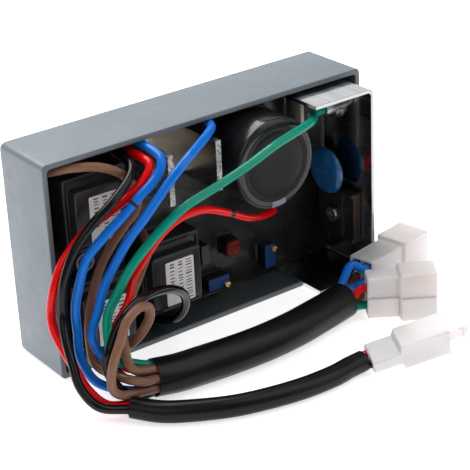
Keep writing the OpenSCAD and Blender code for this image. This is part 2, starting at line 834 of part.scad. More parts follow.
module potting() {
    color([0.05, 0.05, 0.06])
        difference() {
            cavity(y_fill, y_wall);
            circuit_board();
            bracket_solid();
            for (at = [trafo_upper_at, trafo_lower_at, trafo_middle_at])
                on_board(at, trafo_w, trafo_h, y_fill - 1);
            rod_y(y_fill - 1, y_board, cap_at, cap_d + 2 * eps);
            rod_y(y_fill - 1, y_board, small_cap_at, small_cap_d + 2 * eps);
            disc_leads(y_fill - 1, disc_lead_d + 2 * eps);
            on_board(upright_at, upright_t, upright_h, y_fill - 1);
            sink_pegs(2 * eps);
            thyristor_rods(y_fill - 1, thy_lead_d + 2 * eps);
            on_board(film_at, film_size, film_size, y_fill - 1, eps);
            on_board(block_at, block_size[0], block_size[1], y_fill - 1);
            on_board(trim_a_at, trim_w, trim_l, y_fill - 1);
            on_board(trim_b_at, trim_l, trim_w, y_fill - 1);
            rectifier_rods(y_fill - 1, lead_d + 2 * eps);
            on_board(chip_at, chip_size[0], chip_size[1], y_board - chip_size[2]);
            diodes(eps);
            resistors(eps);
        }
}

module wire_red_main() {
    color([0.8, 0.1, 0.1])
        cord_tube(concat(out_of_resin(exit_red_main), pt_red_main, in_narrow(-1),
            into_latched(-latched_v)), wire_d);
}

module wire_black_main() {
    color([0.12, 0.12, 0.12])
        cord_tube(concat(out_of_resin(exit_black_main), pt_black_main, in_narrow(1),
            into_latched(latched_v)), wire_d);
}

module wire_blue_left() {
    color([0.1, 0.4, 0.85])
        cord_tube(concat(out_of_resin(exit_blue_left), pt_blue_left, in_wide(7),
            way_point(at_six, way_blue_left), into_plug(at_six, six_v, six_z(2))), wire_d);
}

module wire_blue_right() {
    color([0.1, 0.4, 0.85])
        cord_tube(concat(out_of_resin(exit_blue_right), pt_blue_right, in_wide(6),
            way_point(at_six, way_blue_right), into_plug(at_six, six_v, six_z(1))), wire_d);
}

module wire_green() {
    color([0.05, 0.5, 0.4])
        cord_tube(concat([for (x = [lug_x + lug_bore, lug_x - 2]) [x, lug_at[0], lug_at[1]]], pt_green,
            in_wide(4), into_plug(at_pair, 0, pair_z(0) - pair_sag)), wire_d);
}

module wire_red_thin() {
    color([0.8, 0.1, 0.1])
        cord_tube(concat(out_of_resin(exit_red_thin), pt_red_thin, in_wide(5),
            into_plug(at_pair, 0, pair_z(1) - 2 * pair_sag)), thin_wire_d);
}

module wire_brown_corner() {
    color([0.36, 0.24, 0.18])
        cord_tube(concat(out_of_resin(exit_brown_corner), pt_brown_corner, in_wide(2),
            into_plug(at_six, -six_v, six_z(0))), wire_d);
}

module wire_brown_middle() {
    color([0.36, 0.24, 0.18])
        cord_tube(concat(out_of_resin(exit_brown_middle), pt_brown_middle, in_wide(3),
            into_plug(at_six, six_v, six_z(0))), wire_d);
}

module wire_brown_loop() {
    color([0.36, 0.24, 0.18])
        cord_tube(concat(out_of_resin(exit_brown_loop), pt_brown_loop, in_wide(1),
            into_plug(at_six, -six_v, six_z(1))), wire_d);
}

module wire_black_loop() {
    color([0.12, 0.12, 0.12])
        cord_tube(concat(out_of_resin(exit_black_loop), pt_black_loop, in_wide(0),
            into_plug(at_six, -six_v, six_z(2))), wire_d);
}

module sleeve_wide() {
    color([0.1, 0.1, 0.11])
        hollow_tube([for (i = [1 : len(line_wide) - 1]) line_wide[i]], sleeve_d, sleeve_t);
}

module sleeve_narrow() {
    color([0.1, 0.1, 0.11])
        hollow_tube(line_narrow, small_sleeve_d, sleeve_t);
}

// a plug's frame: X along it from the rear face, Y across it and Z up, from the middle of that face
module plug_place(at) {
    translate([at[0], at[1], at[2]])
        rotate([at[5], -at[4], at[3]])
            children();
}

// box in a plug's frame from x0 to x1, centred across and up
module bar(x0, x1, w, h) {
    block([x0, -w / 2, -h / 2], [x1, w / 2, h / 2]);
}

// a narrow tail that slopes out to a wider shell
module plug_outer(s) {
    bar(0, s[0] + 1, s[1], s[2]);
    hull() {
        bar(s[0] - plug_slope, s[0], s[1], s[2]);
        bar(s[0], s[0] + 1, s[4], s[5]);
    }
    bar(s[0], s[0] + s[3], s[4], s[5]);
}

// the mouth of the shell, behind a wall in front of the cells
module plug_mouth(s) {
    bar(s[0] + 1, s[0] + s[3] + 1, s[4] - 2 * plug_wall, s[5] - 2 * plug_wall);
}

module cell(x1, v, z, size) {
    translate([0, -v, z])
        bar(-1, x1, size[0], size[1]);
}

six_cell = [4.4, 4.8];
pair_cell = [6, 6.6];
latched_cell = [4, 4];

module plug_six() {
    color([0.9, 0.9, 0.88])
        plug_place(at_six)
            difference() {
                plug_outer(six);
                for (v = [-six_v, six_v], k = [0 : 2])
                    cell(six[0] + 2, v, six_z(k), six_cell);
                plug_mouth(six);
            }
}

module plug_pair() {
    color([0.9, 0.9, 0.88])
        plug_place(at_pair)
            difference() {
                union() {
                    plug_outer(pair);
                    // the lower half stands out to the front
                    block([0, -pair[1] / 2 - plug_ledge, -pair[2] / 2], [pair[0], 0, 0]);
                    block([pair[0], -pair[4] / 2 - plug_ledge, -pair[5] / 2], [pair[0] + pair[3], 0, 0]);
                }
                for (k = [0, 1])
                    cell(pair[0] + 2, 0, pair_z(k), pair_cell);
                plug_mouth(pair);
            }
}

// the tongue runs on from the shell's front wall and ends in a hook
module latch() {
    x1 = latched[0] + latched[3];
    y0 = -latched[4] / 2;
    z0 = latched[5] * 0.05;
    z1 = latched[5] * 0.45;
    block([x1 - 2, y0, z0], [x1 + latch_l, y0 + latch_t, z1]);
    block([x1 + latch_l - 2.4, y0 - 0.8, z0], [x1 + latch_l, y0 + latch_t, z1 + 0.4]);
}

module plug_latched() {
    color([0.9, 0.9, 0.88])
        plug_place(at_latched) {
            difference() {
                plug_outer(latched);
                for (v = [-latched_v, latched_v])
                    cell(latched[0] + 2, v, 0, latched_cell);
                plug_mouth(latched);
            }
            latch();
        }
}

// a sheet contact: a crimp behind and a box in front
module contact(v, z, w) {
    translate([0, -v, z]) {
        bar(wire_in, wire_in + crimp_l, w, crimp_h);
        bar(wire_in + crimp_l - 1, wire_in + contact_l, w, box_h);
    }
}

module contacts_six() {
    color([0.8, 0.66, 0.36])
        plug_place(at_six)
            for (v = [-six_v, six_v], k = [0 : 2])
                contact(v, six_z(k), six_cell[0] - 2 * eps);
}

module contacts_pair() {
    color([0.8, 0.66, 0.36])
        plug_place(at_pair)
            for (k = [0, 1])
                contact(0, pair_z(k) - (k + 1) * pair_sag, pair_cell[0] - 2 * eps);
}

module contacts_latched() {
    color([0.8, 0.66, 0.36])
        plug_place(at_latched)
            for (v = [-0.5, 0.5])
                contact(v * latched_pitch, 0, latched_cell[0] - 2 * eps);
}

case();
potting();
circuit_board();
control_chip();
board_diodes();
board_resistors();
mounting_bracket();
rectifier();
rectifier_leads();
bracket_screws();
bracket_nuts();
earth_lug();
capacitor_can();
capacitor_sleeve();
small_capacitor();
varistor();
varistor_leads();
upright_board();
transformer_upper();
transformer_lower();
transformer_middle();
transformer_labels();
heat_sink();
thyristor();
thyristor_leads();
thyristor_screw();
film_capacitor();
block_resistor();
trimmer_body_a();
trimmer_screw_a();
trimmer_body_b();
trimmer_screw_b();
wire_red_main();
wire_black_main();
wire_blue_left();
wire_blue_right();
wire_green();
wire_red_thin();
wire_brown_corner();
wire_brown_middle();
wire_brown_loop();
wire_black_loop();
sleeve_wide();
sleeve_narrow();
plug_six();
plug_pair();
plug_latched();
contacts_six();
contacts_pair();
contacts_latched();
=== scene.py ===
"""Looks of a potted voltage regulator module, built over its CAD frame.

Lengths in the builders are millimetres in the CAD frame: X along the case, -Y out of its open side, +Z up.
Every new surface is a numpy grid: a row of rings (one parameter) times the points of a ring (the other).
"""
import math

import bpy
import numpy as np
from bpy.props import FloatProperty, FloatVectorProperty, PointerProperty
from bpy.types import Operator, Panel, PropertyGroup
from mathutils import Matrix, Vector


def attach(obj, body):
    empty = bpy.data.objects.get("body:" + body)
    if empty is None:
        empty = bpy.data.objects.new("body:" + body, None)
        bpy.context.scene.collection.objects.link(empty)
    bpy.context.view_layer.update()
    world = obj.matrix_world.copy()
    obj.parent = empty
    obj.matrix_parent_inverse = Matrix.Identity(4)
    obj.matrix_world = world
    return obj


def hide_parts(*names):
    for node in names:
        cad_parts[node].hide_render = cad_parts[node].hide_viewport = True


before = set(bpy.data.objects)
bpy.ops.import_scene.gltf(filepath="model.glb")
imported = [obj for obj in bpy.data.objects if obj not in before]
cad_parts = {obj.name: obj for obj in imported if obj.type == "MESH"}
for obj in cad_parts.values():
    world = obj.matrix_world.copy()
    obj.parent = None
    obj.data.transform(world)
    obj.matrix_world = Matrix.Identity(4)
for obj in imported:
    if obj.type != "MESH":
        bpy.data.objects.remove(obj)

bl_info = {
    "name": "Voltage Regulator Module",
    "version": (1, 0, 0),
    "blender": (4, 5, 0),
    "location": "View3D > Sidebar > Regulator",
    "description": "Builds the visible surfaces of a potted voltage regulator over its CAD frame",
    "category": "Object",
}

MM = 0.001

# Planes of the case and fronts of what stands in it, as in the CAD
Y_RIM = -14.5
Y_FILL = 0.8
Y_BOARD = 5.5
Y_WALL = 12.5
Y_CAN = Y_RIM - 10.0
Y_POT = Y_RIM + 4.0
Y_SMALL_CAN = Y_RIM + 7.5
Y_FILM = Y_RIM + 8.0
Y_POT_FOOT = Y_BOARD - 1.0
Y_FILM_FOOT = Y_BOARD - 2.0

# Places of the parts, as (x, z), and the varistor's as (x, y, z)
TRANSFORMERS = {
    "transformer_upper": (-47.7, 58.5),
    "transformer_lower": (-48.0, 17.7),
    "transformer_middle": (-18.2, 23.3),
}
CAP_AT = (21.2, 60.2)
SMALL_CAP_AT = (-52.0, 38.1)
FILM_AT = (13.8, 21.8)
BLOCK_AT = (-1.9, 25.2)
SINK_AT = (-14.6, 67.0)
UPRIGHT_AT = (46.8, 59.0)
TRIM_A_AT = (32.0, 12.0)
TRIM_B_AT = (7.1, 8.7)
DISC_AT = (57.2, -9.0, 42.5)
SMALL_CAP_R = 4.0
SINK_W = 22.8
BRACKET = {"x": 65.8, "z0": 2.0, "z1": 79.0, "front": -27.5, "back": 4.0, "flange": 28.0, "bend": 3.0}

# Outlines that the resin climbs at, as (middle, width, height)
FOOTPRINTS = (
    (SINK_AT, SINK_W, 19.0),
    (UPRIGHT_AT, 1.6, 30.0),
    (TRIM_A_AT, 4.8, 9.5),
    (TRIM_B_AT, 9.5, 4.8),
    (BLOCK_AT, 3.4, 7.8),
    (FILM_AT, 5.4, 5.4),
)

# Depth at which the dark coat begins on the parts that stand in the resin
COAT_FROM = {"can_top": Y_SMALL_CAN + 0.1, "film": Y_FILM + 1.1, "rectifier": -20.9, "trimmer": -4.3,
             "block": -9.2, "board": -8.2}


# Small numeric helpers

# Least radii and least half side of a rounded outline
SHARP = 0.02
LEAST_R = 0.05
LEAST_HALF = 0.005
# Side vector that a tube's rings start from
SIDE_HINT = (0.31, 0.22, 0.93)


def unit(v):
    """Vectors divided by their lengths."""
    return v / np.linalg.norm(v, axis=-1, keepdims=True)


def srgb(r, g, b):
    """Linear colour of a screen colour given as 0 to 255."""
    c = np.array([r, g, b]) / 255.0
    return tuple(np.where(c <= 0.04045, c / 12.92, ((c + 0.055) / 1.055) ** 2.4).tolist())


def rounded_rect(w, h, r, n=5):
    """Outline of a rectangle: each corner's centre plus r times (cos a, sin a) over its quarter turn."""
    r = min(max(r, SHARP), w / 2 - LEAST_HALF, h / 2 - LEAST_HALF)
    a = np.arange(4)[:, None] * np.pi / 2 + np.linspace(0, np.pi / 2, n + 1)[None, :]
    cx = np.array([1, -1, -1, 1])[:, None] * (w / 2 - r)
    cy = np.array([1, 1, -1, -1])[:, None] * (h / 2 - r)
    return np.stack([cx + r * np.cos(a), cy + r * np.sin(a)], -1).reshape(-1, 2)


def box_rings(cx, cz, rows, n=5):
    """Rings round the Y axis: at each row's y a rounded rectangle of its width, height and radius."""
    rings = []
    for y, w, h, r in rows:
        o = rounded_rect(w, h, r, n)
        rings.append(np.stack([cx + o[:, 0], np.full(len(o), y), cz + o[:, 1]], -1))
    return np.array(rings)


def lathe_y(cx, cz, profile, m=96):
    """Rings round an axis along -Y: at each profile point (r, y) a circle of radius r."""
    p = np.asarray(profile, float)
    a = np.linspace(0, 2 * np.pi, m, endpoint=False)
    x = cx + p[:, :1] * np.cos(a)
    z = cz + p[:, :1] * np.sin(a)
    return np.stack([x, np.repeat(p[:, 1:], m, 1), z], -1)


def skin(rings, first=True, last=True, loop=False, flip=False):
    """Faces between neighbouring rings, with flat caps at the ends, or the last ring joined to the first."""
    n, m, _ = rings.shape
    k = np.arange(m)
    i = np.arange(n if loop else n - 1)[:, None] * m
    j = (i + m) % (n * m)
    k2 = (k + 1) % m
    quads = np.stack([i + k, i + k2, j + k2, j + k], -1).reshape(-1, 4)
    faces = (quads[:, ::-1] if flip else quads).tolist()
    if first and not loop:
        faces.append(k[::-1].tolist())
    if last and not loop:
        faces.append((k + (n - 1) * m).tolist())
    return rings.reshape(-1, 3), faces


def arc_rows(y, w, h, r, edge, out, steps=4):
    """Rows of a loft's rounded end: the outline shrinks by edge*(1-cos t) as y runs out by edge*sin t."""
    t = np.linspace(0, np.pi / 2, steps + 1)
    d = edge * (1 - np.cos(t))
    ys = y + out * edge * np.sin(t)
    return [(b, w - 2 * a, h - 2 * a, max(r - a, LEAST_R)) for a, b in zip(d.tolist(), ys.tolist())]


def catmull(points, gap):
    """Line through points: on each span the cubic with tangents half the chord of its neighbours."""
    p = np.asarray(points, float)
    ext = np.concatenate([[2 * p[0] - p[1]], p, [2 * p[-1] - p[-2]]])
    out = []
    for i in range(len(p) - 1):
        a, b, c, d = ext[i:i + 4]
        n = max(1, math.ceil(np.linalg.norm(c - b) / gap))
        t = (np.arange(n) / n)[:, None]
        out.append(0.5 * (2 * b + (c - a) * t + (2 * a - 5 * b + 4 * c - d) * t ** 2
                          + (3 * b - a - 3 * c + d) * t ** 3))
    return np.concatenate(out + [p[-1:]])


def carried(line):
    """Tangents and two side vectors along a line; the side vector is carried on without twist."""
    t = unit(np.gradient(line, axis=0))
    n = np.empty_like(line)
    v = np.array(SIDE_HINT)
    for i, d in enumerate(t):
        v = v - v.dot(d) * d
        v = v / np.linalg.norm(v)
        n[i] = v
    return t, n, np.cross(t, n)


def tube_rings(line, radius, m):
    """Rings of a tube: line + radius * (n cos a + b sin a); radius may be an array over (station, angle)."""
    _, n, b = carried(line)
    a = np.linspace(0, 2 * np.pi, m, endpoint=False)
    r = np.broadcast_to(np.asarray(radius, float), (len(line), m))[..., None]
    return line[:, None] + r * (n[:, None] * np.cos(a)[:, None] + b[:, None] * np.sin(a)[:, None])


def arc_length(line):
    """Distance along a line at each of its points."""
    return np.concatenate([[0], np.cumsum(np.linalg.norm(np.diff(line, axis=0), axis=1))])


# Meshes and pieces

# Gap that is welded, and the angle of an edge that is rounded
WELD_GAP = 0.01
BEVEL_ANGLE = 40


def cad(name):
    """The CAD object of a node; stops when the frame hasn't got it."""
    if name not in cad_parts:
        raise RuntimeError(f"the frame has no node {name}")
    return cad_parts[name]


def piece(name, parts, material, nodes=(), body="module", angle=38, along=None):
    """Object from (points in mm, faces) parts, shaded smooth below an angle, riding a body."""
    points, faces, base = [], [], 0
    for p, f in parts:
        points.append(np.asarray(p, float))
        faces += [[v + base for v in q] for q in f]
        base += len(p)
    mesh = bpy.data.meshes.new(name)
    mesh.from_pydata((np.concatenate(points) * MM).tolist(), [], faces)
    mesh.update()
    mesh.polygons.foreach_set("use_smooth", np.ones(len(mesh.polygons), bool))
    mesh.set_sharp_from_angle(angle=math.radians(angle))
    if along is not None:
        attribute = mesh.attributes.new("along", "FLOAT", "POINT")
        attribute.data.foreach_set("value", np.asarray(along, np.float32))
    mesh.materials.append(material)
    obj = bpy.data.objects.new(name, mesh)
    bpy.context.scene.collection.objects.link(obj)
    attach(obj, body)
    if nodes:
        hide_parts(*nodes)
    return obj


def dress(name, material, edge=0.0, segments=2):
    """Puts a finish on a CAD node, and rounds its edges by a live bevel after a weld."""
    obj = cad(name)
    obj.data.materials.clear()
    obj.data.materials.append(material)
    if edge:
        weld = obj.modifiers.new("weld", "WELD")
        weld.merge_threshold = WELD_GAP * MM
        bevel = obj.modifiers.new("bevel", "BEVEL")
        bevel.width = edge * MM
        bevel.segments = segments
        bevel.limit_method = "ANGLE"
        bevel.angle_limit = math.radians(BEVEL_ANGLE)
        bevel.harden_normals = True


# Finishes


def shade(colour, k):
    """A colour made k times as bright, capped at white."""
    return tuple(min(1.0, c * k) for c in colour)


def filtered(colour, by):
    """A colour with each of its channels multiplied by its own factor."""
    return tuple(c * k for c, k in zip(colour, by))


class Finish:
    """Node material in the making, on object coordinates: cells are a noise's scale, lengths are in mm."""

    def __init__(self, name):
        self.material = bpy.data.materials.new(name)
        self.material.use_nodes = True
        self.tree = self.material.node_tree
        self.shader = self.tree.nodes["Principled BSDF"]
        self.coord = self.tree.nodes.new("ShaderNodeTexCoord").outputs["Object"]

    def feed(self, socket, value):
        """Links a socket to another one, or sets its own value."""
        if isinstance(value, bpy.types.NodeSocket):
            self.tree.links.new(value, socket)
        else:
            socket.default_value = value

    def node(self, kind, inputs, operation=None):
        """New node whose inputs, by name or number, are fed."""
        made = self.tree.nodes.new("ShaderNode" + kind)
        if operation:
            made.operation = operation
        for key, value in inputs.items():
            self.feed(made.inputs[key], value)
        return made

    def math(self, operation, *values):
        """One operation on a few values."""
        return self.node("Math", dict(enumerate(values)), operation).outputs["Value"]

    def noise(self, cells, detail=4.0, stretch=None):
        """Noise value, its cells drawn out along an axis by stretch."""
        coord = self.coord
        if stretch:
            coord = self.node("Mapping", {"Vector": coord, "Scale": stretch}).outputs["Vector"]
        return self.node("TexNoise", {"Vector": coord, "Scale": cells, "Detail": detail}).outputs["Fac"]

    def spread(self, value, low, high, start=0.3, end=0.7):
        """A value brought from start..end to low..high."""
        limits = {"From Min": start, "From Max": end, "To Min": low, "To Max": high}
        return self.node("MapRange", {"Value": value, **limits}).outputs["Result"]

    def blend(self, factor, first, second):
        """Mix of two colours by a factor; a colour is a tuple or another mix's socket."""
        made = self.tree.nodes.new("ShaderNodeMix")
        made.data_type = "RGBA"
        self.feed(made.inputs["Factor"], factor)
        for socket, colour in zip([s for s in made.inputs if s.type == "RGBA"], (first, second)):
            self.feed(socket, (*colour, 1.0) if isinstance(colour, tuple) else colour)
        return [s for s in made.outputs if s.type == "RGBA"][0]

    def mottle(self, value, colour, dark, light):
        """A colour that runs from a dark to a light shade of itself with a noise value."""
        return self.blend(self.spread(value, 0, 1), shade(colour, dark), shade(colour, light))

    def mask(self, axis, start, end, ragged=0.0):
        """0 before start and 1 after end along an axis, with an edge made ragged by noise."""
        value = self.node("SeparateXYZ", {"Vector": self.coord}).outputs[axis]
        if ragged:
            shift = self.spread(self.noise(cells=700, detail=3), -ragged * MM, ragged * MM)
            value = self.math("ADD", value, shift)
        return self.spread(value, 0, 1, start * MM, end * MM)

    def overlap(self, first, *others):
        """Product of several masks."""
        for other in others:
            first = self.math("MULTIPLY", first, other)
        return first

    def bump(self, height, strength, depth):
        """Normal of a height value."""
        inputs = {"Height": height, "Strength": strength, "Distance": depth * MM}
        return {"Normal": self.node("Bump", inputs).outputs["Normal"]}

    def done(self, colour, rough, *others):
        """The material with its colour, its roughness and any other sockets fed."""
        for inputs in ({"Base Color": colour, "Roughness": rough}, *others):
            for key, value in inputs.items():
                self.feed(self.shader.inputs[key], value)
        return self.material


METAL = {"Metallic": 1.0}


def gloss(level):
    """Strength of a finish's highlights."""
    return {"Specular IOR Level": level}


def painted(name, colour):
    """Satin paint: faint cloudy colour, a rim face at half brightness, fine orange peel, a little uneven
    gloss.
    """
    f = Finish(name)
    base = f.mottle(f.noise(cells=60), colour, dark=0.95, light=1.05)
    rim = f.mask("Y", Y_RIM + 0.35, Y_RIM + 0.1, ragged=0.05)
    return f.done(f.blend(rim, base, shade(colour, 0.5)), f.spread(f.noise(cells=220), 0.36, 0.5),
                  f.bump(f.noise(cells=1100, detail=2), strength=0.12, depth=0.3))


def cast_resin(name, colour, rough=0.2):
    """Cast epoxy: near black, glossy skin with slow waves and duller patches."""
    f = Finish(name)
    patch = f.noise(cells=90)
    return f.done(f.mottle(patch, colour, dark=0.8, light=1.3), f.spread(patch, rough, rough + 0.16),
                  gloss(0.34), f.bump(f.noise(cells=260, detail=3), strength=0.2, depth=0.4))


def brushed(name, colour, stretch, rough=0.1):
    """Brushed sheet: noise drawn out along the grain for colour, gloss and bump; the channel's inside
    darkened as painted shade, its web's outer face dull and its front edge darker."""
    f = Finish(name)
    grain = f.noise(cells=900, detail=3, stretch=stretch)
    cloud = f.noise(cells=70)
    web, low, high, front = (BRACKET[key] for key in ("x", "z0", "z1", "front"))
    bright = f.mottle(grain, colour, dark=0.8, light=1.06)
    # Painted shade: the faces inside the channel, under its top flange and on its web, at 0.3 to 0.5 of the
    # colour
    channel_shade = f.mottle(cloud, colour, dark=0.3, light=0.5)
    dull = f.mottle(cloud, colour, dark=0.5, light=0.68)
    inside = f.overlap(f.mask("X", web - 1.15, web - 1.25), f.mask("Z", low + 1.2, low + 1.3),
                       f.mask("Z", high - 1.2, high - 1.3), f.mask("Y", front + 0.2, front + 0.4))
    faces = f.blend(f.mask("X", web - 0.3, web - 0.1), f.blend(inside, bright, channel_shade), dull)
    # The front edge of the sheet is darker: half its colour
    darker_front = f.mask("Y", front + 0.25, front + 0.15)
    return f.done(f.blend(darker_front, faces, shade(colour, 0.5)), f.spread(grain, rough, rough + 0.14), METAL,
                  f.bump(grain, strength=0.16, depth=0.2))


def speckled(name, colour, rough=0.26, etched_rough=0.55):
    """Mill-finish extrusion: a smudged dull mirror, its left wall and its edges etched and full of specks."""
    f = Finish(name)
    # Builds every piece in order.
    specks = f.noise(cells=900, detail=6)
    left = SINK_AT[0] - SINK_W / 2
    etched = f.mask("X", left + 0.2, left + 0.1)
    edge = f.mask("Y", Y_CAN + 0.3, Y_CAN + 0.2)
    mill = f.mottle(f.noise(cells=130), filtered(colour, (0.46, 0.42, 0.37)), dark=0.6, light=1.0)
    pitted = f.blend(f.spread(specks, 0, 1, 0.4, 0.52), shade(colour, 0.18), shade(colour, 0.5))
    walls = f.blend(etched, mill, pitted)
    dull = f.math("MAXIMUM", etched, edge)
    return f.done(f.blend(edge, walls, pitted), f.spread(dull, rough, etched_rough, 0, 1), METAL,
                  f.bump(specks, strength=0.1, depth=0.1))


def plated(name, colour, rough=0.22):
    """Plated or turned small metal: slight stains and a soft micro-scratch bump."""
    f = Finish(name)
    stain = f.noise(cells=420)
    return f.done(f.mottle(stain, colour, dark=0.8, light=1.08), f.spread(stain, rough + 0.14, rough), METAL,
                  f.bump(f.noise(cells=2600, detail=2), strength=0.12, depth=0.1))


def moulded(name, colour, rough=0.45, shine=0.35):
    """Moulded plastic: even colour with a fine spark-eroded grain."""
    f = Finish(name)
    cloud = f.noise(cells=260)
    return f.done(f.mottle(cloud, colour, dark=0.88, light=1.12), f.spread(cloud, rough - 0.05, rough + 0.08),
                  gloss(shine), f.bump(f.noise(cells=1800, detail=2), strength=0.16, depth=0.2))


def dipped(name, colour, rough=0.22):
    """Dipped lacquer: deeper and paler runs of colour under a clear coat."""
    f = Finish(name)
    runs = f.noise(cells=240, detail=3)
    return f.done(f.mottle(runs, colour, dark=0.8, light=1.2), f.spread(runs, rough, rough + 0.14),
                  {"Coat Weight": 0.4, "Coat Roughness": 0.12},
                  f.bump(f.noise(cells=700, detail=2), strength=0.2, depth=0.2))


def smeared(name, colour, coat, front, width=0.4, ragged=0.25, rough=0.4):
    """Part that stands in cast resin: its own colour on the face, and a dark coat from a depth on."""
    f = Finish(name)
    cloud = f.noise(cells=320)
    face = f.mottle(cloud, colour, dark=0.86, light=1.14)
    sides = f.mask("Y", front, front + width, ragged)
    return f.done(f.blend(sides, face, coat), f.spread(cloud, rough - 0.1, rough + 0.08), gloss(0.22),
                  f.bump(f.noise(cells=1200, detail=2), strength=0.18, depth=0.2))


def vinyl(name, colour, rough=0.14, band=None, shine=0.22):
    """Extruded vinyl: faint clouds and soft gloss; a band is a dark stretch of its length in mm."""
    f = Finish(name)
    cloud = f.noise(cells=320, detail=3)
    base = f.mottle(cloud, colour, dark=0.95, light=1.05)
    if band:
        along = f.tree.nodes.new("ShaderNodeAttribute")
        along.attribute_name = "along"
        middle, half = (band[0] + band[1]) / 2 * MM, (band[1] - band[0]) / 2 * MM
        inside = f.math("COMPARE", along.outputs["Fac"], middle, half)
        base = f.blend(inside, base, tint("band"))
    return f.done(base, f.spread(cloud, rough, rough + 0.06), gloss(shine),
                  f.bump(f.noise(cells=900, detail=2), strength=0.04, depth=0.2))


def nylon(name, colour):
    """Milky nylon: light scattered deep under the skin, warm and cool clouds, satin gloss."""
    f = Finish(name)
    cloud = f.spread(f.noise(cells=45, detail=2), 0, 1, 0.35, 0.65)
    warm = filtered(colour, (0.97, 0.88, 0.82))
    deep = {"Subsurface Weight": 0.8, "Subsurface Radius": (0.0045, 0.0038, 0.0034), "Subsurface Scale": 1.0}
    skin_bump = f.bump(f.noise(cells=900, detail=2), strength=0.06, depth=0.2)
    return f.done(f.blend(cloud, colour, warm), f.spread(f.noise(cells=160), 0.28, 0.4), deep,
                  {"Transmission Weight": 0.2}, skin_bump)


def fibrous(name, colour, rough=0.6):
    """Board or paper: crossed fibres of two tones and a dry surface."""
    f = Finish(name)
    across = f.noise(cells=900, detail=3, stretch=(1.0, 0.12, 1.0))
    down = f.noise(cells=900, detail=3, stretch=(1.0, 1.0, 0.12))
    base = f.mottle(across, colour, dark=0.88, light=1.05)
    return f.done(f.blend(f.spread(down, 0, 0.5), base, shade(colour, 1.12)),
                  f.spread(down, rough - 0.08, rough + 0.1), f.bump(across, strength=0.12, depth=0.2))


def sweep(name, colour):
    """Lit paper sweep: faint fibres, dry surface and a glow from behind."""
    f = Finish(name)
    fibres = f.noise(cells=300, detail=3)
    glow = {"Emission Color": (1.0, 1.0, 1.0, 1.0), "Emission Strength": 0.62}
    return f.done(f.mottle(fibres, colour, dark=0.995, light=1.0), 0.9, gloss(0.1), glow)


# Properties


def length(name, text, default):
    """A length property in metres."""
    return FloatProperty(name=name, description=text, default=default, min=0.0, unit="LENGTH")


def colour(name, text, default):
    """A colour property."""
    return FloatVectorProperty(name=name, description=text, default=default, size=3, min=0.0, max=1.0,
                               subtype="COLOR")


class RegulatorSizes(PropertyGroup):
    """Sizes of the visible pieces."""

    case_w: length("Case Width", "Width of the case along X", 0.140)
    case_d: length("Case Depth", "Depth of the case along Y", 0.029)
    case_h: length("Case Height", "Height of the case along Z", 0.0825)
    wall: length("Case Wall", "Thickness of the case's walls", 0.002)
    corner_r: length("Corner Radius", "Radius of the case's four corners", 0.002)
    edge_r: length("Back Edge Radius", "Radius of the edges round the case's back", 0.0012)
    rim_r: length("Rim Radius", "Radius of the rim's outer edge", 0.0005)
    meniscus: length("Meniscus", "Height that the resin climbs at walls and parts", 0.0005)
    trafo_w: length("Transformer Width", "Width of a transformer's pot", 0.026)
    trafo_h: length("Transformer Height", "Height of a transformer's pot", 0.029)
    cover_w: length("Cover Width", "Width of a transformer's raised cover", 0.0214)
    cover_h: length("Cover Height", "Height of a transformer's raised cover", 0.021)
    cap_d: length("Capacitor Diameter", "Diameter of the main capacitor", 0.035)
    disc_d: length("Varistor Diameter", "Diameter of the varistor's disc", 0.0188)
    disc_t: length("Varistor Thickness", "Thickness of the varistor's disc", 0.0046)
    sheet_t: length("Bracket Sheet", "Thickness of the bracket's sheet", 0.0015)
    wire_d: length("Wire Diameter", "Diameter of a wire", 0.0033)
    thin_wire_d: length("Thin Wire Diameter", "Diameter of the thin red wire", 0.0028)
    sleeve_d: length("Sleeve Diameter", "Diameter of the wide sleeve", 0.0138)
    small_sleeve_d: length("Small Sleeve Diameter", "Diameter of the narrow sleeve", 0.0078)
    plug_edge: length("Plug Edge", "Radius of the plugs' edges", 0.0008)


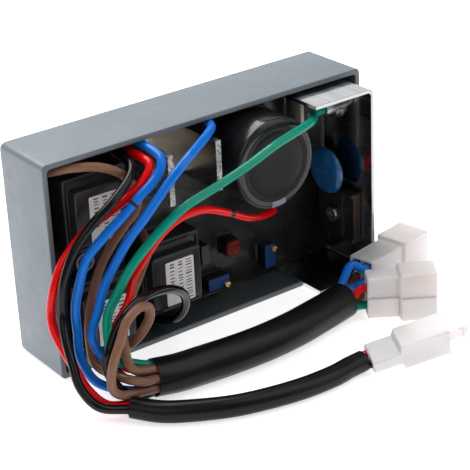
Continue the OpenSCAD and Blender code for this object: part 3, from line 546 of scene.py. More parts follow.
class RegulatorColours(PropertyGroup):
    """Colours of the finishes."""

    case: colour("Case", "Paint of the case", srgb(119, 128, 135))
    # Painted shade: the colour of the case's inside is the paint darkened as it looks deep in the case
    lining: colour("Case Inside", "Darkened paint inside the case", srgb(48, 54, 57))
    resin: colour("Resin", "Cast resin", srgb(22, 22, 23))
    pot: colour("Transformer", "Transformer pots and covers", srgb(31, 31, 34))
    black: colour("Black Parts", "Moulded black packages", srgb(30, 30, 32))
    can: colour("Capacitor", "Capacitor's wrap", srgb(30, 30, 33))
    disc: colour("Capacitor End", "Capacitor's end disc", srgb(18, 18, 20))
    can_top: colour("Small Capacitor", "Small capacitor's end", srgb(128, 129, 132))
    mark: colour("Polarity Mark", "Print on the capacitor", srgb(112, 115, 132))
    label: colour("Label", "Paper labels", srgb(212, 210, 208))
    ink: colour("Label Print", "Bars on the labels", srgb(44, 44, 48))
    rectifier: colour("Rectifier", "Face of the package on the bracket", srgb(58, 50, 44))
    varistor: colour("Varistor", "Dipped blue disc", srgb(8, 78, 126))
    aluminium: colour("Bracket", "Bright sheet of the bracket", (0.86, 0.87, 0.88))
    sink: colour("Heat Sink", "Mill-finish aluminium", (0.78, 0.79, 0.79))
    steel: colour("Steel", "Plated screws and lugs", (0.80, 0.80, 0.80))
    brass: colour("Brass", "Brass screws and contacts", (0.80, 0.60, 0.28))
    trimmer: colour("Trimmer", "Blue trimmer bodies", srgb(20, 56, 112))
    film: colour("Film Capacitor", "Dipped red-brown body", srgb(96, 15, 2))
    block: colour("Block Resistor", "Grey cement body", srgb(60, 60, 61))
    board: colour("Upright Board", "Pale bare board", srgb(176, 170, 158))
    mask: colour("Circuit Board", "Green mask", srgb(52, 106, 66))
    resistor: colour("Resistors", "Lacquered resistors", srgb(196, 160, 108))
    red: colour("Red Wire", "Red vinyl", srgb(216, 9, 11))
    black_wire: colour("Black Wire", "Black vinyl", srgb(9, 9, 10))
    blue: colour("Blue Wire", "Blue vinyl", srgb(6, 102, 194))
    green: colour("Green Wire", "Green vinyl", srgb(0, 128, 106))
    brown: colour("Brown Wire", "Brown vinyl", srgb(122, 86, 69))
    band: colour("Wire Band", "Dark band on two of the wires", (0.02, 0.02, 0.022))
    sleeve: colour("Sleeve", "Black vinyl sleeve", srgb(11, 11, 12))
    nylon: colour("Plugs", "Milky nylon", srgb(244, 238, 241))
    floor: colour("Floor", "Pale floor", (0.93, 0.93, 0.93))


def sizes():
    """Every size of the scene in millimetres."""
    group = bpy.context.scene.regulator_sizes
    return {key: getattr(group, key) / MM for key in RegulatorSizes.__annotations__}


def tint(key):
    """A colour of the scene as a tuple."""
    return tuple(getattr(bpy.context.scene.regulator_colours, key))


# Case and resin

INNER_R = 1.2
BACK_R = 1.2
BACK_ROUND = 0.6
LIP_R = 0.3
# Thickness and set back of the sheet of painted shade inside the case
SHADE_SHEET_T = 0.1
SHADE_SHEET_GAP = 0.5
GRID = (273, 157)
CLIMB_REACH = 0.8
WAVE_H = 0.05
# Slow waves of the fill, as (rate along x, rate along z, phase)
WAVES = ((0.31, 0.2, 0.0), (0.17, -0.43, 1.0), (0.55, 0.61, 2.0))
SKIRT_GAP = 0.1


def case_surface(s):
    """Tray: rounded rectangles run from the back over its round edge to the rim, over it and down inside."""
    w, h, edge, rim = (s[key] for key in ("case_w", "case_h", "edge_r", "rim_r"))
    inner = (w - 2 * s["wall"], h - 2 * s["wall"])
    back = arc_rows(s["case_d"] / 2 - edge, w, h, s["corner_r"] + BACK_ROUND, edge, 1, 6)[::-1]
    rows = [(y, a, b, max(r, BACK_R)) for y, a, b, r in back]
    rows += arc_rows(Y_RIM + rim, w, h, s["corner_r"], rim, -1, 3)
    lip = arc_rows(Y_RIM + LIP_R, *inner, INNER_R + LIP_R, -LIP_R, 1, 2)[:0:-1]
    rows += [(y, a, b, INNER_R + LIP_R) for y, a, b, _ in lip]
    rows += [(y, *inner, INNER_R) for y in (Y_RIM + LIP_R, Y_WALL)]
    return skin(box_rings(0, h / 2, rows, 8))


def inside_shade_surface(s):
    """Thin sheet of painted shade on the inner walls: a closed loop of rounded rectangles from the fill to
    under the rim.
    """
    w, h = s["case_w"] - 2 * s["wall"], s["case_h"] - 2 * s["wall"]
    behind = (w + SHADE_SHEET_T, h + SHADE_SHEET_T, INNER_R)
    shown = (w - SHADE_SHEET_T, h - SHADE_SHEET_T, INNER_R - SHADE_SHEET_T)
    low, high = Y_FILL + SHADE_SHEET_GAP, Y_RIM + SHADE_SHEET_GAP
    rows = [(low, *behind), (high, *behind), (high + 2 * SHADE_SHEET_T, *shown), (low, *shown)]
    return skin(box_rings(0, s["case_h"] / 2, rows, 6), loop=True)


def rect_gap(x, z, at, w, h):
    """Distance of points from a rectangle, 0 inside it."""
    return np.hypot(np.maximum(abs(x - at[0]) - w / 2, 0), np.maximum(abs(z - at[1]) - h / 2, 0))


def bracket_feet(sheet):
    """Outlines of the channel's web and flanges in the fill, as (middle, width, height)."""
    x, z0, z1, flange = (BRACKET[key] for key in ("x", "z0", "z1", "flange"))
    web = ((x - sheet / 2, (z0 + z1) / 2), sheet, z1 - z0)
    return [web] + [((x - flange / 2, z), flange, sheet) for z in (z0 + sheet / 2, z1 - sheet / 2)]


def resin_surface(s, exits):
    """Fill: y over a grid of x and z, level with slow waves, and climbing by m*exp(-d/reach) at a distance d
    from every wall, part and wire; the edge is drawn back to the case's floor."""
    side, low, high = s["case_w"] / 2 - s["wall"], s["wall"], s["case_h"] - s["wall"]
    x, z = np.meshgrid(np.linspace(-side, side, GRID[0]), np.linspace(low, high, GRID[1]), indexing="ij")
    blocks = [(at, s["trafo_w"], s["trafo_h"]) for at in TRANSFORMERS.values()]
    blocks += [*FOOTPRINTS, *bracket_feet(s["sheet_t"])]
    rounds = [(*CAP_AT, s["cap_d"] / 2), (*SMALL_CAP_AT, SMALL_CAP_R)]
    rounds += [(a, b, s["wire_d"] / 2) for a, b in exits]
    gaps = [side - abs(x), np.minimum(z - low, high - z)]
    gaps += [rect_gap(x, z, *block) for block in blocks]
    gaps += [np.maximum(np.hypot(x - a, z - b) - r, 0) for a, b, r in rounds]
    climb = np.exp(-np.min(gaps, 0) / CLIMB_REACH)
    waves = sum(np.sin(a * x + b * z + c) for a, b, c in WAVES)
    y = Y_FILL - s["meniscus"] * climb + WAVE_H * waves * (1 - climb)
    x, z = np.pad(x, 1, "edge"), np.pad(z, 1, "edge")
    y = np.pad(y, 1, constant_values=Y_WALL - SKIRT_GAP)
    n, m = x.shape
    i = np.arange(n - 1)[:, None] * m + np.arange(m - 1)[None, :]
    faces = np.stack([i, i + m, i + m + 1, i + 1], -1).reshape(-1, 4).tolist()
    index = np.arange(n * m).reshape(n, m)
    border = np.concatenate([index[:-1, 0], index[-1, :-1], index[:0:-1, -1], index[0, :0:-1]])
    return np.stack([x, y, z], -1).reshape(-1, 3), faces + [border[::-1].tolist()]


class REGULATOR_OT_case(Operator):
    """Build the painted tray, a sheet of painted shade inside it, and the resin fill"""

    bl_idname = "regulator.case"
    bl_label = "Case and Resin"

    def execute(self, context):
        s = sizes()
        piece("case_shell", [case_surface(s)], painted("case_paint", tint("case")), ["case"])
        # Painted shade: a thin sheet of darkened paint laid over the case's inner walls
        piece("case_lining", [inside_shade_surface(s)], painted("lining_paint", tint("lining")))
        exits = [(x, z) for x, z, _ in EXITS.values()]
        resin = cast_resin("resin", tint("resin"))
        piece("resin_fill", [resin_surface(s, exits)], resin, ["potting"])
        return {"FINISHED"}


# Transformers

POT_R = 1.0
POT_EDGE = 0.45
# Rim of a pot and the resin in it, as (depth behind the rim, cut off width and height, corner radius)
POT_ROWS = ((0.0, 2.5, 0.9), (0.12, 2.85, 0.8), (0.45, 3.0, 0.7), (0.58, 3.3, 0.8), (0.6, 3.9, 0.9))
# Foot of a cover, as (depth behind the pot's rim, added to width, added to height, corner radius)
FOOT_ROWS = ((0.58, 0.7, 0.9, 1.6), (0.4, 0.2, 0.25, 1.4), (0.1, 0.0, 0.0, 1.3))
COVER_R = 1.3
COVER_EDGE = 0.7
COVER_CUT = 4.5
COVER_FLAT_R = 0.4
LABEL = {"w": 12.4, "h": 17.6, "r": 0.7, "x": 1.0, "z": -1.4}
# Sheet of a label, as (place in front of or behind the cover, drawn in)
LABEL_ROWS = ((0.02, 0.0), (-0.16, 0.0), (-0.2, 0.05))
# Print on a label: widths of its columns, their places, and the bars' thickness and corner radius
BARS = {"widths": (2.6, 1.9, 1.9), "x": 3.9, "pitch": 3.7, "top": 7.9, "end": -7.6, "rise": 2.4, "r": 0.1}
BAR_ROWS = (-0.19, -0.215)
# Height of the bars and gap between them, as (least, span, rate down the label, shift a column)
BAR_H = (0.3, 0.16, 5.3, 2.1)
BAR_GAP = (0.5, 0.3, 3.7, 1.0)
LABEL_SHIFT = 1.7


def transformer_surface(s, at):
    """Pot and cover in one loft: up the pot, over its rim, down to the resin in it, and up the cover."""
    w, h, cw, ch = (s[key] for key in ("trafo_w", "trafo_h", "cover_w", "cover_h"))
    rows = [(Y_POT_FOOT, w, h, POT_R)]
    rows += arc_rows(Y_POT + POT_EDGE, w, h, POT_R, POT_EDGE, -1, 3)
    rows += [(Y_POT + y, w - cut, h - cut, r) for y, cut, r in POT_ROWS]
    rows += [(Y_POT + y, cw + dw, ch + dh, r) for y, dw, dh, r in FOOT_ROWS]
    rows += arc_rows(Y_RIM + COVER_EDGE, cw, ch, COVER_R, COVER_EDGE, -1, 4)
    rows += [(Y_RIM, cw - COVER_CUT, ch - COVER_CUT, COVER_FLAT_R)]
    return skin(box_rings(*at, rows, 6))


def label_surface(at):
    """Thin sheet with round corners on a cover."""
    w, h, r = LABEL["w"], LABEL["h"], LABEL["r"]
    rows = [(Y_RIM + y, w - 2 * cut, h - 2 * cut, r - cut) for y, cut in LABEL_ROWS]
    return skin(box_rings(at[0] + LABEL["x"], at[1] + LABEL["z"], rows, 4))


def uneven(numbers, z, column, seed=0.0):
    """Least value plus a span times 1 + sin(rate*z + shift*column + seed)."""
    least, span, rate, shift = numbers
    return least + span * (1 + math.sin(rate * z + shift * column + seed))


def bar_surfaces(at, seed):
    """Generic print: columns of bars that lie across them, with heights and gaps drawn from sines."""
    x_mid, z_mid = at[0] + LABEL["x"], at[1] + LABEL["z"]
    bars = []
    for column, w in enumerate(BARS["widths"]):
        x = x_mid + BARS["x"] - BARS["pitch"] * column
        z = z_mid + BARS["top"]
        while z > z_mid + BARS["end"] + BARS["rise"] * column:
            h = uneven(BAR_H, z, column, seed)
            rows = [(Y_RIM + y, w, h, BARS["r"]) for y in BAR_ROWS]
            bars.append(skin(box_rings(x, z - h / 2, rows, 1)))
            z -= h + uneven(BAR_GAP, z, column)
    return bars


class REGULATOR_OT_transformers(Operator):
    """Build the three potted transformers and their labels"""

    bl_idname = "regulator.transformers"
    bl_label = "Transformers"

    def execute(self, context):
        s = sizes()
        pot = cast_resin("transformer_black", tint("pot"), rough=0.26)
        for name, at in TRANSFORMERS.items():
            piece(name + "_pot", [transformer_surface(s, at)], pot, [name])
        paper = fibrous("label_paper", tint("label"), rough=0.55)
        labels = [label_surface(at) for at in TRANSFORMERS.values()]
        piece("labels", labels, paper, ["transformer_labels"])
        ink = moulded("label_ink", tint("ink"), rough=0.6)
        bars = [b for k, at in enumerate(TRANSFORMERS.values()) for b in bar_surfaces(at, LABEL_SHIFT * k)]
        piece("label_print", bars, ink)
        return {"FINISHED"}


# Capacitors

CAN_FOOT = 3.0
SHOULDER_R = 1.6
WRAP_T = 0.4
WRAP_MIDDLE = -2.0
# Profiles of the cans, as (in from the side, behind the front)
WRAP_NECK = ((0.0, 3.4), (0.08, 2.6))
WRAP_LIP = ((2.6, 0.05), (2.95, 0.08), (3.02, 0.18), (3.0, 0.35), (0.9, 1.0), (0.42, 2.0))
DISC_ROWS = ((0.9, 1.8), (1.9, 0.3), (3.3, 0.2), (4.5, 0.22), (4.7, 0.34), (5.0, 0.34), (5.2, 0.25),
             (9.5, 0.32), (17.2, 0.36))
SMALL_ROWS = ((0.0, 2.0), (0.25, 1.6), (0.25, 1.3), (0.0, 0.9), (0.05, 0.4), (0.3, 0.0), (1.0, 0.0),
              (1.1, 0.3), (3.8, 0.35))
MARK_ENDS = ((0.0, 3.0), (2.9, 0.02))
MARK_TURN = (261.0, 284.0)
MARK_PROUD = 0.03
MARK_SUNK = 0.15
FILM_W = 6.6
FILM_DOME = 1.6
# Side of the film capacitor, as (y, corner radius)
FILM_SIDE = ((Y_FILM_FOOT, 1.3), (Y_FILM + 2.0, 1.4))


def profile(r, front, rows):
    """Points (r, y) of a can's rows, given as (in from the side, behind the front)."""
    return [(r - inward, front + behind) for inward, behind in rows]


def shoulder(r):
    """Quarter round of the main wrap: its points (r, y) and their outward directions (cos t, -sin t)."""
    t = np.linspace(0, np.pi / 2, 7)
    out = np.stack([np.cos(t), -np.sin(t)], -1)
    return np.array([r - SHOULDER_R, Y_CAN + SHOULDER_R]) + SHOULDER_R * out, out


def wrap_profile(r):
    """Wrap of the main capacitor: straight side, round shoulder, lip on the disc, and back inside."""
    side = [(r - WRAP_T, CAN_FOOT), (r, CAN_FOOT), (r, WRAP_MIDDLE)] + profile(r, Y_CAN, WRAP_NECK)
    return side + shoulder(r)[0][1:].tolist() + profile(r, Y_CAN, WRAP_LIP)


def disc_profile(r):
    """End disc of the main capacitor: flat with a faint groove and a shallow dish."""
    rows = profile(r, Y_CAN, DISC_ROWS)
    return [(rows[0][0], CAN_FOOT)] + rows


def mark_surface(r):
    """Patch of the wrap, a hair proud of it: its lip and shoulder turned through the mark's angles."""
    points, out = shoulder(r)
    first, last = profile(r, Y_CAN, MARK_ENDS)
    line = np.concatenate([[first], points, [last]])
    normal = np.concatenate([out[:1], out, out[-1:]])
    outline = np.concatenate([line + MARK_PROUD * normal, (line - MARK_SUNK * normal)[::-1]])
    a = np.linspace(*np.radians(MARK_TURN), 13)[:, None]
    x, z = CAP_AT[0] + outline[:, 0] * np.cos(a), CAP_AT[1] + outline[:, 0] * np.sin(a)
    return skin(np.stack([x, np.broadcast_to(outline[:, 1], x.shape), z], -1), flip=True)


def film_surface():
    """Dipped body: rounded squares that close over a domed end."""
    rows = [(y, FILM_W, FILM_W, r) for y, r in FILM_SIDE]
    rows += arc_rows(Y_FILM + FILM_DOME, FILM_W, FILM_W, FILM_DOME, FILM_DOME, -1, 6)
    return skin(box_rings(*FILM_AT, rows, 6))


class REGULATOR_OT_capacitors(Operator):
    """Build the main capacitor, the small one and the film capacitor"""

    bl_idname = "regulator.capacitors"
    bl_label = "Capacitors"

    def execute(self, context):
        r = sizes()["cap_d"] / 2
        wrap = skin(lathe_y(*CAP_AT, wrap_profile(r), 128), loop=True)
        disc = skin(lathe_y(*CAP_AT, disc_profile(r), 128))
        outline = [(SMALL_CAP_R, CAN_FOOT)] + profile(SMALL_CAP_R, Y_SMALL_CAN, SMALL_ROWS)
        small = skin(lathe_y(*SMALL_CAP_AT, outline, 64))
        sleeve = cast_resin("can_sleeve", tint("can"), rough=0.08)
        rubber = moulded("can_disc", tint("disc"), rough=0.42, shine=0.15)
        mark = moulded("mark_print", tint("mark"), rough=0.5)
        ringed = smeared("small_can_wrap", tint("can_top"), tint("can"), COAT_FROM["can_top"], width=0.1,
                         ragged=0.03)
        red = smeared("film_red", tint("film"), tint("resin"), COAT_FROM["film"], rough=0.3)
        piece("capacitor_wrap", [wrap], sleeve, ["capacitor_sleeve"])
        piece("capacitor_end", [disc], rubber, ["capacitor_can"])
        piece("polarity_mark", [mark_surface(r)], mark)
        piece("small_can", [small], ringed, ["small_capacitor"])
        piece("film_body", [film_surface()], red, ["film_capacitor"])
        return {"FINISHED"}


# Bracket and what is fixed to it

# Rounded front edge of the sheet, as (behind the front, cut off each side)
SHEET_ROWS = ((0.3, 0.0), (0.1, 0.08), (0.0, 0.28))


def channel_outline(sheet, cut):
    """Outline of the channel's section: its middle line moved out by half the sheet and back, all drawn in by
    a cut."""
    half = sheet / 2
    bend = BRACKET["bend"] - half
    x, z0, z1 = BRACKET["x"] - half, BRACKET["z0"] + half, BRACKET["z1"] - half
    end = BRACKET["x"] - BRACKET["flange"] + cut
    t = np.linspace(0, np.pi / 2, 9)
    low = np.stack([np.sin(t), -np.cos(t)], -1)
    high = np.stack([np.cos(t), np.sin(t)], -1)
    bends = [np.array([x - bend, z0 + bend]) + bend * low, np.array([x - bend, z1 - bend]) + bend * high]
    line = np.concatenate([[[end, z0]], *bends, [[end, z1]]])
    normal = np.concatenate([low[:1], low, high, high[-1:]])
    return np.concatenate([line + (half - cut) * normal, (line - (half - cut) * normal)[::-1]])


def bracket_surface(s):
    """Channel: the section is carried along -Y, its edges rounded off at the front."""
    rings = []
    for y, cut in [(BRACKET["back"], 0.0)] + [(BRACKET["front"] + y, cut) for y, cut in SHEET_ROWS]:
        o = channel_outline(s["sheet_t"], cut)
        rings.append(np.stack([o[:, 0], np.full(len(o), y), o[:, 1]], -1))
    return skin(np.array(rings))


class REGULATOR_OT_bracket(Operator):
    """Build the aluminium channel and dress the parts on it"""

    bl_idname = "regulator.bracket"
    bl_label = "Bracket"

    def execute(self, context):
        sheet = brushed("bracket_aluminium", tint("aluminium"), stretch=(1.0, 0.03, 1.0))
        channel = bracket_surface(sizes())
        piece("bracket_channel", [channel], sheet, ["mounting_bracket"], angle=25)
        steel = plated("zinc_steel", shade(tint("steel"), 0.5))
        tin = plated("tinned_lead", shade(tint("steel"), 0.45), rough=0.3)
        package = smeared("rectifier_case", tint("rectifier"), tint("black"), COAT_FROM["rectifier"])
        dress("rectifier", package, edge=0.5, segments=3)
        dress("rectifier_leads", tin)
        dress("bracket_screws", steel, edge=0.25, segments=3)
        dress("bracket_nuts", steel, edge=0.15)
        dress("earth_lug", tin, edge=0.12)
        return {"FINISHED"}


# Heat sink and small parts

ROUND_LUMPS = 0.012
FACE_LUMPS = 0.05


def disc_surface(s):
    """Dipped disc round the X axis: half thickness t*sqrt(1-q^4) at q of the radius, with slow lumps."""
    q = np.concatenate([np.linspace(0.03, 0.85, 12), np.sin(np.linspace(1.05, np.pi / 2, 12))])
    q = np.concatenate([q, q[-2::-1]])
    side = np.where(np.arange(len(q)) < len(q) // 2 + 1, -1.0, 1.0)
    a = np.linspace(0, 2 * np.pi, 72, endpoint=False)
    r = s["disc_d"] / 2 * q[:, None] * (1 - ROUND_LUMPS + ROUND_LUMPS * np.sin(2 * a + 0.6))
    x = side * s["disc_t"] / 2 * np.sqrt(1 - np.minimum(q, 1) ** 4)
    x = x[:, None] * (1 - FACE_LUMPS + FACE_LUMPS * np.sin(3 * a + 5 * q[:, None]))
    return skin(np.stack([DISC_AT[0] + x, DISC_AT[1] + r * np.cos(a), DISC_AT[2] + r * np.sin(a)], -1))


class REGULATOR_OT_parts(Operator):
    """Build the varistor and dress the heat sink, the trimmers and the other small parts"""

    bl_idname = "regulator.parts"
    bl_label = "Small Parts"

    def execute(self, context):
        lacquer = dipped("varistor_blue", tint("varistor"))
        piece("varistor_disc", [disc_surface(sizes())], lacquer, ["varistor"])
        black = moulded("moulded_black_small", tint("black"))
        tin = plated("tinned_small", tint("steel"), rough=0.28)
        steel = plated("zinc_small", tint("steel"))
        brass = plated("brass", tint("brass"), rough=0.25)
        blue = smeared("trimmer_blue", tint("trimmer"), tint("resin"), COAT_FROM["trimmer"])
        grey = smeared("block_grey", tint("block"), tint("resin"), COAT_FROM["block"])
        pale = smeared("board_tan", tint("board"), shade(tint("board"), 0.16), COAT_FROM["board"], width=7.0,
                       ragged=1.5, rough=0.5)
        dress("varistor_leads", tin)
        dress("heat_sink", speckled("sink_aluminium", tint("sink")), edge=0.25)
        dress("thyristor", black, edge=0.3)
        dress("thyristor_leads", tin)
        dress("thyristor_screw", steel, edge=0.15)
        dress("upright_board", pale, edge=0.15)
        dress("block_resistor", grey, edge=0.3)
        for side in ("a", "b"):
            dress("trimmer_body_" + side, blue, edge=0.3, segments=3)
            dress("trimmer_screw_" + side, brass, edge=0.12)
        dress("circuit_board", fibrous("board_green", tint("mask"), rough=0.4))
        dress("control_chip", black, edge=0.2)
        dress("board_diodes", black, edge=0.2)
        dress("board_resistors", dipped("resistor_tan", tint("resistor")), edge=0.3)
        return {"FINISHED"}


# Plugs

# A plug's tail and shell as (length, width, height), its place, its turn as (yaw, rise, lean), and its cells
SIX = {"tail": (19.0, 11.2, 17.2), "shell": (14.3, 14.0, 19.6), "at": (48.0, -39.7, 9.8),
       "turn": (11.0, 0.0, 0.0), "v": (-2.6, 2.6), "z": (-5.7, 0.0, 5.7), "cell": (4.4, 4.8),
       "contacts": "contacts_six"}
PAIR = {"tail": (12.4, 8.2, 16.6), "shell": (13.6, 11.4, 19.0), "at": (42.0, -49.4, 9.5),
        "turn": (-33.0, 0.0, 0.0), "v": (0.0,), "z": (-3.9, 3.9), "cell": (6.0, 6.6),
        "contacts": "contacts_pair"}
LATCHED = {"tail": (11.3, 11.0, 5.2), "shell": (17.5, 11.0, 11.2), "at": (16.7, -80.0, 4.4),
           "turn": (-24.0, 12.0, 15.0), "v": (-2.35, 2.35), "z": (0.0,), "cell": (4.0, 4.0),
           "contacts": "contacts_latched"}
PLUG_WALL = 1.0
PLUG_SLOPE = 0.8
SLOPE_END = 0.1
LIP = 0.25
RIM_CUT = 0.2
FLOOR_T = 1.0
MOUTH_R = 0.3
MOUTH_EDGE_R = 0.4
MOUTH_CUT = 0.2
CELL_R = 0.3
CELL_EDGE_R = 0.35
CELL_EDGE = 0.2
CELL_CUT = 0.15
BAR_END_R = 0.03
LEDGE = 0.7
LEDGE_EDGE = 0.6
LEDGE_GAP = 0.2
# Ledges of the two-way plug: how far they stop short of their stretch's ends, and how far they are sunk
TAIL_LEDGE = {"start": 0.05, "end": 0.3, "sunk": 1.0}
SHELL_LEDGE = {"start": 0.05, "end": 0.2, "sunk": 0.9}
# Latch of the latched plug: its ends past the mouth, its place in from the plug's side and up
TONGUE = {"ends": (-2.0, 7.2), "w": 1.5, "h": 4.4, "inward": 0.85, "z": 2.8, "edge": 0.5}
HOOK = {"ends": (4.8, 7.2), "w": 2.4, "h": 4.8, "inward": 0.4, "z": 3.0, "edge": 0.6}
# Crimped contact, as (along the cell, width, height, corner radius) up to its box
CRIMP_ROWS = ((6.0, 3.0, 2.8, 0.9), (8.6, 3.0, 2.8, 0.9), (9.0, 2.0, 1.3, 0.3), (9.8, 2.0, 1.3, 0.3))
# Its box, as (along the cell, cut off the width, height, corner radius)
BOX_ROWS = ((10.1, 0.1, 2.0, 0.3), (14.7, 0.1, 2.0, 0.3), (15.0, 0.4, 1.7, 0.2))


def turn_matrix(turn):
    """Rotation of a plug: lean about its line, rise of its mouth, turn about Z."""
    yaw, rise, lean = (math.radians(v) for v in turn)
    level = Matrix.Rotation(-rise, 3, "Y") @ Matrix.Rotation(lean, 3, "X")
    return np.array(Matrix.Rotation(yaw, 3, "Z") @ level)


def in_plug(plug, points):
    """Points (along, across to the back, up) of a plug's frame brought into the case's frame."""
    return np.asarray(plug["at"]) + np.asarray(points, float) @ turn_matrix(plug["turn"]).T


def plug_rings(plug, rows, n=5):
    """Rings along a plug: at each row's distance a rounded rectangle of width, height, radius and middle."""
    rings = []
    for along, w, h, r, cy, cz in rows:
        o = rounded_rect(w, h, r, n)
        rings.append(np.stack([np.full(len(o), along), cy + o[:, 0], cz + o[:, 1]], -1))
    return in_plug(plug, np.array(rings))


def round_end(edge, steps):
    """Quarter round of an end as (distance, cut): edge*(1-sin t) and edge*(1-cos t), t falling to 0."""
    t = np.linspace(np.pi / 2, 0, steps + 1)
    return list(zip((edge * (1 - np.sin(t))).tolist(), (edge * (1 - np.cos(t))).tolist()))


def borders(values, last):
    """Each cell's place with its borders half way to its neighbours, the outer ones given."""
    v = sorted(values)
    middle = [(a + b) / 2 for a, b in zip(v, v[1:])]
    return list(zip(v, [-last] + middle, middle + [last]))


def tile(along, y, z):
    """Sharp rectangle between a cell's borders."""
    return (along, y[2] - y[1], z[2] - z[1], SHARP, (y[1] + y[2]) / 2, (z[1] + z[2]) / 2)


def plug_parts(plug, edge):
    """Housing: skin from the rear edge over the tail and the shell into the mouth, and one loft a cell from
    the rear face through to the mouth's floor; each cell's two end rings tile those faces."""
    (l0, w0, h0), (l1, w1, h1) = plug["tail"], plug["shell"]
    wi, hi = w1 - 2 * PLUG_WALL, h1 - 2 * PLUG_WALL
    mouth, floor = l0 + l1, l0 + FLOOR_T
    rows = [(a, w0 - 2 * d, h0 - 2 * d, max(edge - d, SHARP)) for a, d in round_end(edge, 4)]
    rows += [(l0 - PLUG_SLOPE, w0, h0, edge), (l0 - SLOPE_END, w1 - 2 * LIP, h1 - 2 * LIP, edge)]
    rows += [(l0 + LIP, w1, h1, edge), (mouth - LIP, w1, h1, edge)]
    rows += [(mouth, w1 - 2 * LIP, h1 - 2 * LIP, edge - RIM_CUT)]
    rows += [(mouth, wi + 2 * MOUTH_CUT, hi + 2 * MOUTH_CUT, MOUTH_EDGE_R)]
    rows += [(mouth - LIP, wi, hi, MOUTH_R), (floor, wi, hi, SHARP)]
    parts = [skin(plug_rings(plug, [(*row, 0, 0) for row in rows]), False, False)]
    cw, ch = plug["cell"]
    across = [-v for v in plug["v"]]
    for y_rear, y_front in zip(borders(across, w0 / 2 - edge), borders(across, wi / 2)):
        for z_rear, z_front in zip(borders(plug["z"], h0 / 2 - edge), borders(plug["z"], hi / 2)):
            at = (y_rear[0], z_rear[0])
            rows = [tile(0.0, y_rear, z_rear), (0.0, cw + 2 * CELL_CUT, ch + 2 * CELL_CUT, CELL_EDGE_R, *at),
                    (CELL_EDGE, cw, ch, CELL_R, *at), (floor, cw, ch, CELL_R, *at),
                    tile(floor, y_front, z_front)]
            parts.append(skin(plug_rings(plug, rows), False, False, flip=True))
    return parts


def bar_part(plug, ends, w, h, cy, cz, edge):
    """Bar along a plug between two ends, with all its edges rounded."""
    quarter = round_end(edge, 3)
    places = [(ends[0] + a, d) for a, d in quarter] + [(ends[1] - a, d) for a, d in quarter[::-1]]
    rows = [(a, w - 2 * d, h - 2 * d, max(edge - d, BAR_END_R), cy, cz) for a, d in places]
    return skin(plug_rings(plug, rows))


def ledge_part(first, stretch, start, end, sunk):
    """Ledge on the lower left side of a stretch of the two-way plug that begins at first."""
    run, w, h = stretch
    cy = (sunk - LEDGE - w) / 2
    ends = (first + start, first + run - end)
    return bar_part(PAIR, ends, sunk + LEDGE, h / 2 - LEDGE_GAP, cy, -h / 4, LEDGE_EDGE)


def latch_part(latch):
    """Bar of the latch, placed from the latched plug's mouth and side."""
    (l0, _, _), (l1, w1, _) = LATCHED["tail"], LATCHED["shell"]
    ends = [l0 + l1 + a for a in latch["ends"]]
    cy = latch["inward"] - w1 / 2
    return bar_part(LATCHED, ends, latch["w"], latch["h"], cy, latch["z"], latch["edge"])


def terminal_part(plug, v, z):
    """Crimped contact: a loft along a cell from the barrel at the wire's end over a neck to its box."""
    rows = list(CRIMP_ROWS) + [(along, plug["cell"][0] - cut, h, r) for along, cut, h, r in BOX_ROWS]
    return skin(plug_rings(plug, [(*row, -v, z) for row in rows]))


class REGULATOR_OT_plugs(Operator):
    """Build the three milky plugs"""

    bl_idname = "regulator.plugs"
    bl_label = "Plugs"

    def execute(self, context):
        edge = sizes()["plug_edge"]
        milky = nylon("nylon_white", tint("nylon"))
        ledges = [ledge_part(0.0, PAIR["tail"], **TAIL_LEDGE),
                  ledge_part(PAIR["tail"][0], PAIR["shell"], **SHELL_LEDGE)]
        for name, parts, node in (("six_housing", plug_parts(SIX, edge), "plug_six"),
                                  ("pair_housing", plug_parts(PAIR, edge), "plug_pair"),
                                  ("pair_ledges", ledges, "plug_pair"),
                                  ("latched_housing", plug_parts(LATCHED, edge), "plug_latched"),
                                  ("latched_tongue", [latch_part(TONGUE)], "plug_latched"),
                                  ("latched_hook", [latch_part(HOOK)], "plug_latched")):
            piece(name, parts, milky, [node])
        return {"FINISHED"}


# Wires and sleeves

EXIT_L = 7.0
WIRE_IN = 6.0
# Stops of a wire's end along its cell
IN_CELL = (-1.5, WIRE_IN)
IN_LATCHED = (-1.2, 2.5, WIRE_IN)
# Lay of the wires in the sleeves
RING_R = 4.65
RING_START = -67.5
RING_STEP = 45.0
GATHER = 1.3
PAIR_R = 1.72
WIRE_GAP = 1.1
WIRE_SIDES = 20
SLEEVE_GAP = 1.2
SLEEVE_SIDES = 48
SLEEVE_WALL = 0.35
RIDGE = 0.1
RIDGE_TURN = -0.87
RIDGE_WAVE = 9.0
RIDGE_KEPT = 0.6
# Middle lines of the sleeves, and the turn of the lay along the wide one in degrees
LINE_WIDE = ((-60, -44.3, 9.8), (-52, -46, 8.2), (-43, -47.5, 7.4), (-34, -48.5, 7.2), (-20, -50, 7.2),
             (-6, -50.5, 7.2), (8, -49.5, 7.2), (20, -47.5, 7.2), (28, -46, 7.2), (35, -44.5, 7.2))
TWIST_WIDE = (0, 0, -8, -20, -45, -75, -100, -120, -132, -135)
LINE_NARROW = ((-65, -52, 4.4), (-59, -60, 4), (-51.5, -66, 4), (-39, -73, 4), (-27, -77, 4), (-13, -79.8, 4),
               (0, -80.4, 4), (8, -79.6, 4.1), (14.4, -79.5, 4.3))
# Where a wire leaves the resin, as (x, z, z at the end of its first stretch); the green one starts at the lug
EXITS = {
    "red_main": (-31.5, 75.5, 75.5),
    "black_main": (-36.0, 77.0, 77.0),
    "blue_left": (-28.6, 78.6, 78.6),
    "blue_right": (2.0, 78.6, 78.6),
    "red_thin": (33.0, 32.0, 32.0),
    "brown_corner": (-64.5, 75.0, 76.0),
    "brown_middle": (-27.5, 42.0, 42.0),
    "brown_loop": (-65.0, 6.0, 6.0),
    "black_loop": (-24.0, 5.0, 5.0),
}
LUG = ((58.0, -12.0, 69.0), (52.0, -12.0, 69.0))
